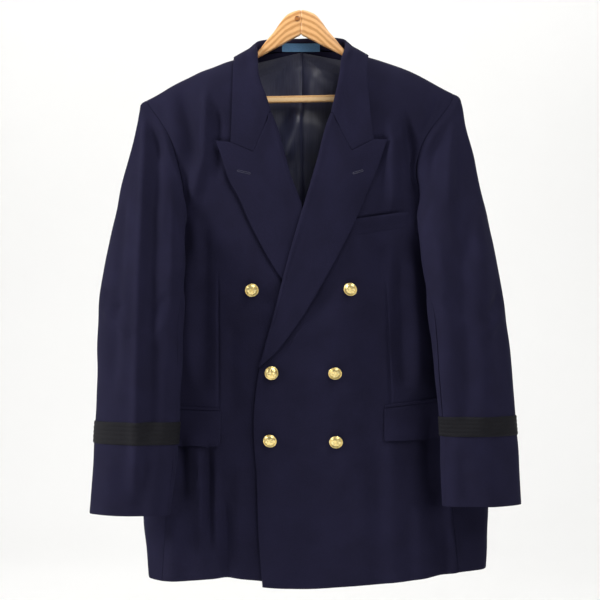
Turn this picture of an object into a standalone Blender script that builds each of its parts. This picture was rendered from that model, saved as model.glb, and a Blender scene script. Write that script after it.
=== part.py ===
"""Double-breasted navy blazer hanging on a two-piece wooden hanger, held by a short wall peg.

Metres, +Z up. X runs to the wearer's left, +Y towards the wall and the origin is on the peg's
axis, in the plane of the hanger. The tables hold millimetres: across is measured from the
garment's centre line, down from the peg, and out is the depth along Y.
"""

import math

import bmesh
import bpy
import numpy as np

MM = 0.001
CENTRE_ACROSS = 5.5

CLOTH = 1.6
FACING = 1.8
COLLAR = 1.4
LINING = 0.8
SEAM = 0.3
RIGHT, LEFT = -1, 1


def table(columns, *rows):
    """A short table, as one array of numbers for each named column."""
    return dict(zip(columns.split(), np.array(rows, float).T))


def read(rows, column, at):
    """A column's value where the table's first column has the value at, on a curve with no overshoot."""
    known = next(iter(rows.values()))
    value = rows[column]
    step = np.diff(known)
    rise = np.diff(value) / step
    before, after = rise[:-1], rise[1:]
    same_way = before * after > 0
    harmonic = 2 * before * after / np.where(same_way, before + after, 1)
    slope = np.concatenate([rise[:1], np.where(same_way, harmonic, 0), rise[-1:]])
    at = np.asarray(at, float)
    i = np.clip(np.searchsorted(known, at, side="right") - 1, 0, len(step) - 1)
    width = step[i]
    t = (at - known[i]) / width
    inside = np.clip(t, 0, 1)
    low, high = value[i], value[i + 1]
    curve = (
        low * (1 + 2 * inside) * (1 - inside) ** 2
        + high * inside**2 * (3 - 2 * inside)
        + width * inside * (1 - inside) * (slope[i] * (1 - inside) - slope[i + 1] * inside)
    )
    beyond = np.where(t < 0, t * slope[i], np.where(t > 1, (t - 1) * slope[i + 1], 0))
    return curve + width * beyond


def smooth(t):
    """From 0 to 1 with soft ends."""
    t = np.clip(t, 0, 1)
    return t * t * (3 - 2 * t)


# How the body's section changes on the way down.
BODY = table(
    "down right left front back",
    (40, -234, 236, 56, 22),
    (120, -234, 238, 62, 24),
    (200, -227, 240, 66, 26),
    (300, -224, 241, 67, 27),
    (400, -225, 248, 63, 27),
    (500, -226, 256, 58, 26),
    (600, -230, 265, 54, 26),
    (700, -235, 275, 49, 26),
    (770, -229, 276, 45, 25),
    (835, -223, 272, 42, 25),
)
SHOULDER = table(
    "across right left",
    (0, 22, 20),
    (40, 34, 32),
    (60, 46, 43),
    (75, 53, 49.5),
    (97, 59.5, 55.5),
    (115, 65, 60.5),
    (130, 71, 65.5),
    (149, 78, 72),
    (171, 89, 81.5),
    (193, 100, 93.5),
    (211, 113, 104),
    (222, 120, 111),
    (240, 135, 126),
)
NECK_POINT = 75.0
FRONT_ROUND, BACK_ROUND = 100.0, 50.0
FRONT_POWER, BACK_POWER = 2.15, 3.2

# Soft vertical folds of the fronts: where each one runs, its half width and how far it stands out.
FOLDS = table(
    "top_across top_down end_across end_down width depth",
    (-138, 95, -132, 270, 13, 3.0),
    (-158, 120, -152, 250, 11, -2.5),
    (152, 150, 150, 290, 12, -3.0),
    (130, 120, 128, 270, 16, 2.0),
    (-150, 640, -158, 850, 16, 2.5),
    (-118, 640, -112, 850, 14, -2.5),
    (150, 640, 160, 850, 22, 2.5),
    (30, 640, 38, 850, 26, 2.0),
)
FOLD_FADE = 45.0

# The left front lies on the right one, raised by this much between its edge and the far chest.
OVERLAP_RISE = 6.0
OVERLAP_FADE = (62.0, 112.0)
OVERLAP_START = (160.0, 260.0)


def side_column(side):
    return "right" if side == RIGHT else "left"


def shoulder_down(side, across):
    return read(SHOULDER, side_column(side), np.abs(across))


def overlap_rise(across, down):
    across_share = 1 - smooth((across - OVERLAP_FADE[0]) / (OVERLAP_FADE[1] - OVERLAP_FADE[0]))
    down_share = smooth((down - OVERLAP_START[0]) / (OVERLAP_START[1] - OVERLAP_START[0]))
    return OVERLAP_RISE * across_share * down_share


def fold_relief(across, down):
    """How far the soft folds push the fronts out at a place."""
    relief = np.zeros(np.broadcast(across, down).shape)
    for row in zip(*FOLDS.values()):
        top_across, top_down, end_across, end_down, width, depth = row
        share = (down - top_down) / (end_down - top_down)
        middle = top_across + share * (end_across - top_across)
        window = smooth((down - top_down) / FOLD_FADE) * smooth((end_down - down) / FOLD_FADE)
        relief = relief + depth * window * np.exp(-(((across - middle) / width) ** 2))
    return relief


def body_point(across, down, face, over=False):
    """A place on the outside of the front (face -1) or back (face 1) of the body, as (across, out, up).

    Above the shoulder line the surface turns over to the other face, which gives edges there
    their true direction.
    """
    across = np.asarray(across, float)
    down = np.asarray(down, float)
    ridge = np.where(across < 0, shoulder_down(RIGHT, across), shoulder_down(LEFT, across))
    below = down - ridge
    level = ridge + np.abs(below)
    low, high = read(BODY, "right", level), read(BODY, "left", level)
    share = np.clip(np.abs(2 * across - low - high) / (high - low), 0, 1)
    power = FRONT_POWER if face < 0 else BACK_POWER
    reach = FRONT_ROUND if face < 0 else BACK_ROUND
    depth = read(BODY, "front" if face < 0 else "back", level)
    side_round = (1 - share**power) ** (1 / power)
    top_round = np.sqrt(1 - (1 - np.clip(np.abs(below) / reach, 0, 1)) ** 2)
    out = depth * side_round * top_round
    if face < 0:
        out = out + fold_relief(across, level) * top_round
        if over:
            out = out + overlap_rise(across, level)
    out = face * out * np.where(below < 0, -1, 1) + face * SEAM / 2
    return np.stack([across, out, -level], axis=-1)


def side_point(side, turn, down):
    """A place on the body's side: turn is 0 at the outermost line, below 0 in front, above 0 behind."""
    low, high = read(BODY, "right", down), read(BODY, "left", down)
    middle, half = (low + high) / 2, (high - low) / 2
    front = turn < 0
    power = np.where(front, FRONT_POWER, BACK_POWER)
    depth = np.where(front, read(BODY, "front", down), read(BODY, "back", down))
    across = middle + side * half * np.abs(np.cos(turn)) ** (2 / power)
    out = np.sign(turn) * (depth * np.abs(np.sin(turn)) ** (2 / power) + SEAM / 2)
    out = out + np.where(front, -fold_relief(across, down), 0)
    return np.stack([across, out, -down + 0 * turn], axis=-1)


def turn_of(side, across, down, face):
    """The side turn at which the body's surface is this far across."""
    low, high = read(BODY, "right", down), read(BODY, "left", down)
    share = np.clip(side * (2 * across - low - high) / (high - low), 0, 1)
    power = FRONT_POWER if face < 0 else BACK_POWER
    return face * np.arccos(share ** (power / 2))


def grid_directions(points, wrap=False):
    """Unit normals of a grid of points, from its neighbours."""
    down_step = np.gradient(points, axis=0)
    if wrap:
        across_step = np.roll(points, -1, axis=1) - np.roll(points, 1, axis=1)
    else:
        across_step = np.gradient(points, axis=1)
    normal = np.cross(across_step, down_step)
    return normal / np.linalg.norm(normal, axis=-1, keepdims=True)


def surface_grid(place, first, second):
    """Points and normals of the surface place(first, second) on a grid of its two measures.

    The grid is worked out one step wider all round, so that normals on its edges are those of
    the whole surface and neighbouring pieces meet squarely.
    """

    def widened(values):
        values = np.concatenate([2 * values[:1] - values[1:2], values, 2 * values[-1:] - values[-2:-1]])
        left = 2 * values[:, :1] - values[:, 1:2]
        right = 2 * values[:, -1:] - values[:, -2:-1]
        return np.concatenate([left, values, right], axis=1)

    points = place(widened(first), widened(second))
    return points[1:-1, 1:-1], grid_directions(points)[1:-1, 1:-1]


def facing(normals, direction):
    """The normals turned so that on the whole they face the direction given."""
    return normals * np.sign((normals * np.asarray(direction, float)).sum())


def material(name, colour, roughness, metallic=0.0):
    made = bpy.data.materials.new(name)
    made.use_nodes = True
    shader = made.node_tree.nodes["Principled BSDF"]
    shader.inputs["Base Color"].default_value = (*colour, 1)
    shader.inputs["Roughness"].default_value = roughness
    shader.inputs["Metallic"].default_value = metallic
    made.diffuse_color = (*colour, 1)
    return made


def place_mesh(name, mesh, finish):
    """An object for the mesh, set beside the peg as the garment hangs."""
    mesh.materials.append(finish)
    thing = bpy.data.objects.new(name, mesh)
    thing.location = (CENTRE_ACROSS * MM, 0, 0)
    bpy.context.scene.collection.objects.link(thing)
    return thing


def mesh_of(name, points, faces):
    """A closed mesh with its faces pointing out, from points in millimetres."""
    shape = bmesh.new()
    corners = [shape.verts.new(tuple(point)) for point in np.asarray(points) * MM]
    for face in faces:
        shape.faces.new([corners[i] for i in face])
    bmesh.ops.recalc_face_normals(shape, faces=shape.faces)
    mesh = bpy.data.meshes.new(name)
    shape.to_mesh(mesh)
    shape.free()
    mesh.shade_smooth()
    mesh.set_sharp_from_angle(angle=math.radians(50))
    return mesh


def wall(name, outer, normals, thickness, finish, wrap=False):
    """A piece of cloth: the outer grid, the same grid moved in by the thickness, and the rim."""
    inner = outer - normals * thickness
    rows, columns = outer.shape[:2]
    points = np.concatenate([outer.reshape(-1, 3), inner.reshape(-1, 3)])
    half = rows * columns
    faces = []
    for row in range(rows - 1):
        for column in range(columns if wrap else columns - 1):
            beside = (column + 1) % columns
            a, b = row * columns + column, row * columns + beside
            c, d = b + columns, a + columns
            faces += [(a, b, c), (a, c, d), (half + a, half + c, half + b), (half + a, half + d, half + c)]
    edges = [list(range(columns)), [half - columns + i for i in range(columns)]]
    if wrap:
        edges = [edge + edge[:1] for edge in edges]
    else:
        edges += [[i * columns for i in range(rows)], [i * columns + columns - 1 for i in range(rows)]]
    for edge in edges:
        for a, b in zip(edge, edge[1:]):
            faces.append((a, b, half + b, half + a))
    return place_mesh(name, mesh_of(name, points, faces), finish)


# Where the fronts end towards the middle: under the collar, along the roll line, then the edge.
FRONT_EDGE = {
    LEFT: table(
        "down across",
        (49.5, 75),
        (56, 67.5),
        (64, 61.5),
        (84, 57.5),
        (103, 54),
        (123, 49.4),
        (144, 44),
        (171, 34.7),
        (211, 24.8),
        (256, 11.8),
        (286, 3),
        (357, -18.2),
        (436, -38.4),
        (500, -57),
        (529, -65),
        (550, -68),
        (590, -68.5),
        (675, -64),
        (740, -62),
        (818, -60.5),
        (832, -56),
    ),
    RIGHT: table(
        "down across",
        (53, -75),
        (60, -69.5),
        (68, -65.5),
        (84, -63),
        (102, -58.5),
        (119, -52),
        (138, -45.4),
        (165, -35.5),
        (198, -26),
        (234, -16.5),
        (262, -5.5),
        (286, 3),
        (357, 25),
        (432, 46),
        (500, 58),
        (540, 62),
        (826, 62),
    ),
}
HEM = table(
    "across right left back",
    (-225, 822, 832, 815),
    (-200, 827, 832, 818),
    (-167, 825.5, 832, 820),
    (-129, 822, 832, 822),
    (-108, 820, 832, 822),
    (-84, 821, 832, 823),
    (-60, 824, 832, 824),
    (0, 826, 835, 825),
    (62, 826, 831.5, 822),
    (132, 826, 826.5, 817),
    (206, 826, 817, 810),
    (272, 826, 806, 802),
)

# The armhole's front and back halves, from the shoulder's end to the side body's seam.
ARMHOLE_FRONT = {
    LEFT: table(
        "share across down",
        (0, 221, 110.3),
        (0.15, 212, 134),
        (0.35, 191, 163),
        (0.55, 174, 193),
        (0.75, 163, 230),
        (0.9, 161, 268),
        (1, 166, 296),
    ),
    RIGHT: table(
        "share across down",
        (0, -222, 120),
        (0.15, -212, 142),
        (0.35, -194, 172),
        (0.55, -181, 209),
        (0.75, -171.5, 249),
        (0.9, -168.6, 283),
        (1, -173, 305),
    ),
}
ARMHOLE_BACK = {
    LEFT: table(
        "share across down",
        (0, 221, 110.3),
        (0.25, 212, 150),
        (0.5, 204, 195),
        (0.75, 201, 245),
        (1, 208, 290),
    ),
    RIGHT: table(
        "share across down",
        (0, -222, 120),
        (0.25, -213, 158),
        (0.5, -204, 203),
        (0.75, -198, 252),
        (1, -201, 298),
    ),
}
UNDERARM_DROP = 36.0
BACK_NECK_DOWN = 42.0
SIDE_SEAM = {
    LEFT: table(
        "down front back",
        (290, 165, 208),
        (400, 186, 208),
        (500, 199, 214),
        (600, 209, 221),
        (700, 218, 229),
        (835, 232, 238),
    ),
    RIGHT: table(
        "down front back",
        (290, -172.5, -201),
        (400, -181, -194),
        (500, -184, -193),
        (600, -188, -195),
        (700, -195, -198),
        (835, -204, -200),
    ),
}
TOP_TURNS = np.radians([0, 12, 24, 36, 48, 62])
ARMHOLE_ROWS = 3
SKIRT_SHARES = np.array([0, 0.12, 0.26, 0.41, 0.56, 0.71, 0.85, 1])
CORNER_LEVEL = {LEFT: 278.0, RIGHT: 290.0}


def seam_line(side, edge, columns):
    """How far across and down the outer edge of a front or back panel runs, row by row."""
    armhole = (ARMHOLE_FRONT if edge == "front" else ARMHOLE_BACK)[side]
    top = armhole["down"][0] + FRONT_ROUND * (1 - np.cos(TOP_TURNS))
    shares = np.interp(top, armhole["down"], armhole["share"])
    shares = np.concatenate([shares, np.linspace(shares[-1], 1, ARMHOLE_ROWS + 1)[1:]])
    across = read(armhole, "across", shares)
    down = read(armhole, "down", shares)
    corner = down[-1]
    hem_column = columns["hem"]
    seam = SIDE_SEAM[side]
    hem = read(HEM, hem_column, read(seam, edge, 820.0))
    skirt = corner + (hem - corner) * SKIRT_SHARES[1:]
    return (
        np.concatenate([across, read(seam, edge, skirt) - side * SEAM * 0.7]),
        np.concatenate([down, skirt]),
    )


def front_layout(side, columns=9):
    """Across and down for every point of a front: rows run from its inner edge to its outer one."""
    outer_across, outer_down = seam_line(side, "front", {"hem": side_column(side)})
    edge = FRONT_EDGE[side]
    start = edge["down"][0]
    top = start + FRONT_ROUND * (1 - np.cos(TOP_TURNS))
    upper = np.linspace(top[-1], CORNER_LEVEL[side], ARMHOLE_ROWS + 1)[1:]
    last = edge["down"][-1]
    skirt = CORNER_LEVEL[side] + (last - CORNER_LEVEL[side]) * SKIRT_SHARES[1:]
    inner_down = np.concatenate([top, upper, skirt])
    inner_across = read(edge, "across", inner_down)
    share = np.linspace(0, 1, columns)[None, :]
    across = inner_across[:, None] * (1 - share) + outer_across[:, None] * share
    down = inner_down[:, None] * (1 - share) + outer_down[:, None] * share
    rows = np.arange(len(inner_down))
    near_top = np.clip(1 - rows / len(TOP_TURNS), 0, 1)[:, None]
    near_hem = np.clip(1 - (len(rows) - 1 - rows) / 3, 0, 1)[:, None]
    top_bend = shoulder_down(side, across[:1]) - down[:1]
    hem_bend = read(HEM, side_column(side), across[-1:]) - down[-1:]
    return across, down + near_top * top_bend + near_hem * hem_bend


def back_layout(side, columns=8):
    """Across and down for every point of a back half: rows run from the centre seam outwards."""
    outer_across, outer_down = seam_line(side, "back", {"hem": "back"})
    neck = BACK_NECK_DOWN
    top = neck + BACK_ROUND * (1 - np.cos(TOP_TURNS))
    upper = np.linspace(top[-1], CORNER_LEVEL[side], ARMHOLE_ROWS + 1)[1:]
    last = read(HEM, "back", 0.0)
    skirt = CORNER_LEVEL[side] + (last - CORNER_LEVEL[side]) * SKIRT_SHARES[1:]
    inner_down = np.concatenate([top, upper, skirt])
    share = np.linspace(0, 1, columns)[None, :] ** 0.9
    across = side * SEAM / 2 * (1 - share) + outer_across[:, None] * share
    down = inner_down[:, None] * (1 - share) + outer_down[:, None] * share
    rows = np.arange(len(inner_down))
    near_top = np.clip(1 - rows / len(TOP_TURNS), 0, 1)[:, None]
    near_hem = np.clip(1 - (len(rows) - 1 - rows) / 3, 0, 1)[:, None]
    first = np.abs(across[:1])
    neck_curve = neck + (shoulder_down(side, NECK_POINT) - neck) * smooth(first / NECK_POINT)
    collar_line = np.where(first < NECK_POINT, neck_curve, shoulder_down(side, first))
    hem_bend = read(HEM, "back", across[-1:]) - down[-1:]
    return across, down + near_top * (collar_line - down[:1]) + near_hem * hem_bend


def side_layout(side, columns=7):
    """Turn and down for every point of a side body, from its front seam round to its back seam."""
    skirt = slice(-len(SKIRT_SHARES), None)
    front_line = seam_line(side, "front", {"hem": side_column(side)})
    back_line = seam_line(side, "back", {"hem": "back"})
    front_across, front_down = front_line[0][skirt], front_line[1][skirt]
    back_across, back_down = back_line[0][skirt], back_line[1][skirt]
    first = turn_of(side, front_across + side * 1.4 * SEAM, front_down, -1)
    last = turn_of(side, back_across + side * 1.4 * SEAM, back_down, 1)
    share = np.linspace(0, 1, columns)[None, :]
    turn = first[:, None] * (1 - share) + last[:, None] * share
    down = front_down[:, None] * (1 - share) + back_down[:, None] * share
    drop = UNDERARM_DROP * np.sin(math.pi * share) ** 0.8 * (1 - SKIRT_SHARES[:, None]) ** 2
    return turn, down + drop


def body_panels():
    """Points and normals of the six panels of the body, by name."""
    panels = {}
    for side in (RIGHT, LEFT):
        name = side_column(side)
        over = side == LEFT
        panels["front_" + name] = surface_grid(
            lambda across, down, over=over: body_point(across, down, -1, over), *front_layout(side)
        )
        panels["back_" + name] = surface_grid(
            lambda across, down: body_point(across, down, 1), *back_layout(side)
        )
        panels["side_" + name] = surface_grid(
            lambda turn, down, side=side: side_point(side, turn, down), *side_layout(side)
        )
    ways = {"front": (0, -1, 0), "back": (0, 1, 0)}
    for name, (points, normals) in panels.items():
        kind, side = name.split("_")
        outward = ways.get(kind, (RIGHT if side == "right" else LEFT, 0, 0))
        normals = facing(normals, outward)
        on_ridge = np.abs(points[..., 1]) < SEAM
        normals[on_ridge, 1] = 0
        panels[name] = points, normals / np.linalg.norm(normals, axis=-1, keepdims=True)
    return panels


# The sleeves below the arm: each ring's outer and inner ends, and how full it is before and behind.
SLEEVE = {
    LEFT: table(
        "down outer outer_out inner inner_out front back",
        (400, 287, -42, 180, -96, 46, 29),
        (460, 295, -46, 187, -98, 44, 28),
        (520, 302, -50, 192, -98, 42, 27),
        (600, 309, -54, 198, -96, 38, 26),
        (660, 314, -56, 200, -92, 34, 25),
        (709, 318, -56, 202, -88, 31, 24),
    ),
    RIGHT: table(
        "down outer outer_out inner inner_out front back",
        (400, -287, -40, -169, -92, 46, 29),
        (460, -292, -44, -170, -94, 44, 28),
        (520, -293, -48, -171, -94, 42, 27),
        (600, -296, -52, -174, -92, 38, 26),
        (660, -300, -54, -181, -88, 34, 25),
        (722.5, -306, -54, -187, -84, 31, 24),
    ),
}
BRAID_LEVELS = {LEFT: (580.5, 608.5), RIGHT: (588.5, 620.5)}
STRAND_SHARES = (0.05, 0.12, 0.22, 0.36, 0.54, 0.76, 1)
LOWER_LEVELS = (455, 515)
# The ring that ends the strands and the two below it hang lower under the arm, by these amounts.
RING_SLANT = (50.0, 32.0, 12.0)
SLANT_MIDDLE, SLANT_WIDTH = 0.64, 0.15
SLEEVE_CLEARANCE, BACK_FULLNESS = 8.0, 1.0
EASING_ROUNDS, EASING_WIDTH = 8, 0.15
FRONT_SLEEVE_SEAM, BACK_SLEEVE_SEAM = 0.45, 0.80
CAP_TURN, UNDERARM_TURN = math.radians(14), math.radians(168)
CAP_REACH = 62.0
BRAID = 1.5


def armhole_ring(panels, side):
    """The edge of the armhole from the shoulder's end round the front, with body normals."""
    name = side_column(side)
    last = len(TOP_TURNS) + ARMHOLE_ROWS - 1
    front, side_body, back = (panels[kind + name] for kind in ("front_", "side_", "back_"))
    rings = []
    for i in (0, 1):
        rings.append(
            np.concatenate([front[i][: last + 1, -1], side_body[i][0, 1:-1], back[i][last:0:-1, -1]])
        )
    rings[0][0, 1] = 0
    return rings


def clear_of_body(points, margin):
    """The points moved straight out from the body until they are this far from it."""
    points = points.copy()
    for _ in range(6):
        across, out, down = points[..., 0], points[..., 1], -points[..., 2]
        low, high = read(BODY, "right", down), read(BODY, "left", down)
        middle, half = (low + high) / 2, (high - low) / 2
        power = np.where(out < 0, FRONT_POWER, BACK_POWER)
        depth = np.where(out < 0, read(BODY, "front", down), read(BODY, "back", down))
        wide, deep = np.abs(across - middle) / half, np.abs(out) / depth
        size = (wide**power + deep**power) ** (1 / power)
        slope = np.stack(
            [
                np.sign(across - middle) * (wide / size) ** (power - 1) / half,
                np.sign(out) * (deep / size) ** (power - 1) / depth,
            ],
            axis=-1,
        )
        steep = np.linalg.norm(slope, axis=-1)
        short = np.clip(margin - (size - 1) / steep, 0, None)
        points[..., :2] += slope * (short / steep)[..., None]
    return points


def sleeve_rings(panels, side):
    """Points and normals of a whole sleeve, ring by ring from the armhole to the cuff."""
    edge, normals = armhole_ring(panels, side)
    along = np.roll(edge, -1, axis=0) - np.roll(edge, 1, axis=0)
    away = np.cross(along, normals)
    away /= np.linalg.norm(away, axis=1, keepdims=True)
    if away[0, 0] * side < 0:
        away = -away
    steps = np.linalg.norm(np.roll(edge, -1, axis=0) - edge, axis=1)
    share = np.concatenate([[0], np.cumsum(steps)[:-1]]) / steps.sum()
    lift = ((1 - np.cos(2 * math.pi * share)) / 2) ** 1.25
    turn = (CAP_TURN + (UNDERARM_TURN - CAP_TURN) * lift)[:, None]
    start = edge + 1.2 * SEAM * (np.cos(turn / 2) * away + np.sin(turn / 2) * normals)
    first_normals = np.cos(turn) * normals - np.sin(turn) * away
    leave = CAP_REACH * (np.cos(turn) * away + np.sin(turn) * normals)
    rows = SLEEVE[side]
    slant = np.exp(-(((share - SLANT_MIDDLE) / SLANT_WIDTH) ** 2))
    top = rows["down"][0] + RING_SLANT[0] * slant
    goal = sleeve_ring(side, top, share)
    slope = (sleeve_ring(side, top + 30, share) - goal) / 30
    arrive = slope * (goal[:, 2:] - start[:, 2:]) * -0.95
    t = np.array((0, *STRAND_SHARES))[:, None, None]
    rings = (
        start * (1 + 2 * t) * (1 - t) ** 2
        + goal * t * t * (3 - 2 * t)
        + leave * t * (1 - t) ** 2
        - arrive * t * t * (1 - t)
    )
    fuller_behind = 1 + BACK_FULLNESS * np.clip((share - 0.5) / 0.35, 0, 1)
    margin = (SLEEVE_CLEARANCE * np.clip(t / 0.15, 0, 1) * (1 - 0.4 * t))[1:-1, :, 0] * fuller_behind
    beside_body = smooth((lift - 0.03) / 0.2)[:, None]
    rings[1:-1] += beside_body * (clear_of_body(rings[1:-1], margin) - rings[1:-1])
    eased = np.exp(-(((share - SLANT_MIDDLE) / EASING_WIDTH) ** 4))[:, None]
    for _ in range(EASING_ROUNDS):
        around = (np.roll(rings, 1, axis=1) + np.roll(rings, -1, axis=1))[1:-1]
        even = clear_of_body((around + rings[:-2] + rings[2:]) / 4, margin)
        rings[1:-1] += 0.6 * eased * (even - rings[1:-1])
    levels = [level + drop * slant for level, drop in zip(LOWER_LEVELS, RING_SLANT[1:])]
    levels += [*BRAID_LEVELS[side], 0.55 * rows["down"][-2] + 0.45 * rows["down"][-1], rows["down"][-1]]
    lower = [sleeve_ring(side, level + 0 * share, share) for level in levels]
    rings = np.concatenate([rings, lower])
    ring_normals = grid_directions(rings, wrap=True)
    outward = rings[-1] - rings[-1].mean(axis=0)
    ring_normals = ring_normals * np.sign((ring_normals[-1] * outward).sum())
    ring_normals[0] = first_normals
    return rings, ring_normals, share


def sleeve_ring(side, level, share):
    """A ring of the sleeve: share 0 is its outer end, a quarter its front, a half its inner end.

    Each of its points has a level of its own, so a ring can hang lower on one side.
    """
    row = {name: read(SLEEVE[side], name, level) for name in SLEEVE[side] if name != "down"}
    outer = np.stack([row["outer"], row["outer_out"]], axis=-1)
    inner = np.stack([row["inner"], row["inner_out"]], axis=-1)
    half = (outer - inner) / 2
    ahead = np.stack([half[:, 1], -half[:, 0]], axis=-1) * side
    ahead /= np.linalg.norm(ahead, axis=1, keepdims=True)
    angle = 2 * math.pi * share
    fullness = np.where(np.sin(angle) > 0, row["front"], row["back"]) * np.sin(angle)
    flat = (outer + inner) / 2 + np.cos(angle)[:, None] * half + fullness[:, None] * ahead
    return np.column_stack([flat, -level])


def sleeve(panels, side, wool, braid_finish):
    """Top sleeve, under sleeve and the braid round both."""
    name = side_column(side)
    rings, normals, share = sleeve_rings(panels, side)
    count = rings.shape[1]
    front_seam = int(np.argmin(np.abs(share - FRONT_SLEEVE_SEAM)))
    back_seam = int(np.argmin(np.abs(share - BACK_SLEEVE_SEAM)))
    pieces = {
        "top_sleeve_": [i % count for i in range(back_seam, front_seam + count + 1)],
        "under_sleeve_": list(range(front_seam, back_seam + 1)),
    }
    for piece, columns in pieces.items():
        points = rings[:, columns].copy()
        for end, beside in ((0, 1), (-1, -2)):
            inward = points[:, beside] - points[:, end]
            inward /= np.linalg.norm(inward, axis=1, keepdims=True)
            points[:, end] += inward * SEAM * 0.6
        wall(piece + name, points, normals[:, columns], CLOTH, wool)
    first = 1 + len(STRAND_SHARES) + len(LOWER_LEVELS)
    band = slice(first, first + 2)
    points = rings[band] + normals[band] * (SEAM + BRAID)
    wall("sleeve_braid_" + name, points, normals[band], BRAID, braid_finish, wrap=True)


# The lapels, row by row from the gorge down: the roll line, the outer edge and the height of the roll.
LAPEL = {
    LEFT: table(
        "row roll roll_down edge edge_down height",
        (0, 44, 144.5, 124.1, 182.8, 5.4),
        (1, 34.7, 171.2, 108.9, 227.5, 5.4),
        (2, 24.8, 211, 95.7, 258.4, 5.4),
        (3, 11.8, 256, 80.2, 296, 5.3),
        (4, -3.5, 306, 53.8, 349, 5.2),
        (5, -18.2, 357, 20.6, 408.6, 5.0),
        (6, -38.4, 436, -14.1, 462.4, 4.2),
        (7, -51.5, 482, -37, 491, 3.6),
        (8, -60.5, 511, -55, 508, 3.0),
    ),
    RIGHT: table(
        "row roll roll_down edge edge_down height",
        (0, -44.2, 143.5, -123.6, 184.1, 5.4),
        (1, -35.5, 165.3, -113.8, 210.5, 5.4),
        (2, -26, 198.4, -103.6, 240.9, 5.4),
        (3, -16.5, 233.6, -88.9, 268.1, 4.6),
        (4, -5.4, 262.4, -71.8, 306.8, 3.4),
        (5, 3, 286, -49.7, 348.9, 2.9),
        (6, 14, 320, -27, 384, 2.9),
        (7, 27, 362, 2, 412, 2.9),
        (8, 40, 410, 34, 418, 2.9),
    ),
}
# The seam between collar and lapel: down to a corner, up to the notch, then the peak's free edge.
GORGE = {
    LEFT: table(
        "share across down",
        (0, 44, 144.5),
        (0.22, 55, 164),
        (0.42, 73.2, 199.1),
        (0.78, 104.9, 182.6),
        (1, 124.1, 182.8),
    ),
    RIGHT: table(
        "share across down",
        (0, -44.2, 143.5),
        (0.22, -53.5, 166),
        (0.42, -68.7, 201),
        (0.78, -102, 186.8),
        (1, -123.6, 184.1),
    ),
}
GORGE_ROWS = 5
LAPEL_SHARES = (0.10, 0.22, 0.42, 0.60, 0.78, 1)
NOTCH_SHARE = 0.78

# A cloth fold in section, from its hidden edge: how far past the fold line, and the share of its height.
FOLD_SECTION = table("past height", (0.4, 0.1), (1.5, 0.45), (0.9, 0.8), (-2.2, 1.0))


def front_point(side, across, down, height):
    """A place this far in front of the outside of a front."""
    points = body_point(across, down, -1, over=side == LEFT)
    points[..., 1] -= height
    return points


def front_normals(side, across, down):
    """The directions straight out of a front at places on it."""
    here = front_point(side, across, down, 0.0)
    beside = front_point(side, across + 1.0, down, 0.0)
    lower = front_point(side, across, down + 1.0, 0.0)
    normals = np.cross(lower - here, beside - here)
    return normals / np.linalg.norm(normals, axis=-1, keepdims=True)


def lapel(side, wool):
    rows = LAPEL[side]
    count = len(rows["row"])
    roll = np.stack([rows["roll"], rows["roll_down"]], axis=-1)
    edge = np.stack([rows["edge"], rows["edge_down"]], axis=-1)
    width = np.linalg.norm(edge - roll, axis=1, keepdims=True)
    past = (roll - edge) / width
    gorge = GORGE[side]
    columns, heights = [], []
    small = np.minimum(1, width / 22)
    for step, share in zip(FOLD_SECTION["past"], FOLD_SECTION["height"]):
        columns.append(roll + past * step * small)
        heights.append(rows["height"] * share + 0.3)
    fade = np.clip(1 - np.arange(count) / GORGE_ROWS, 0, 1)[:, None]
    for share in LAPEL_SHARES:
        straight = roll + (edge - roll) * share
        top = [np.interp(share, gorge["share"], gorge[name]) for name in ("across", "down")]
        columns.append(straight + (np.array(top) - straight[0]) * fade)
        heights.append(rows["height"])
    flat = np.stack(columns, axis=1)
    flat[0, :, 1] += 1.2 * SEAM
    flat[0, : len(FOLD_SECTION["past"]), 1] += SEAM
    points = front_point(side, flat[..., 0], flat[..., 1], np.stack(heights, axis=1))
    normals = grid_directions(points)
    outward = points[:, 1] - (points[:, 0] + points[:, -1]) / 2
    normals = normals * np.sign((normals[:, 1] * outward).sum())
    wall("lapel_" + side_column(side), points, normals, FACING, wool)


# The collar where it lies on the fronts: the fold line and the outer edge, from the gorge up.
COLLAR_FRONT = {
    LEFT: table(
        "row fold fold_down edge edge_down",
        (0, 44, 144.5, 104.9, 182.6),
        (1, 49.4, 123, 101.5, 156),
        (2, 54, 103, 99, 130),
        (3, 57.5, 84, 96.8, 104),
        (4, 60, 63, 96.5, 78),
    ),
    RIGHT: table(
        "row fold fold_down edge edge_down",
        (0, -44.2, 143.5, -102, 186.8),
        (1, -52, 119, -100.5, 158),
        (2, -58.5, 102, -100, 132),
        (3, -63, 84, -99.5, 107),
        (4, -64, 67, -99.3, 82),
    ),
}
COLLAR_HEIGHT = 5.4
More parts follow.
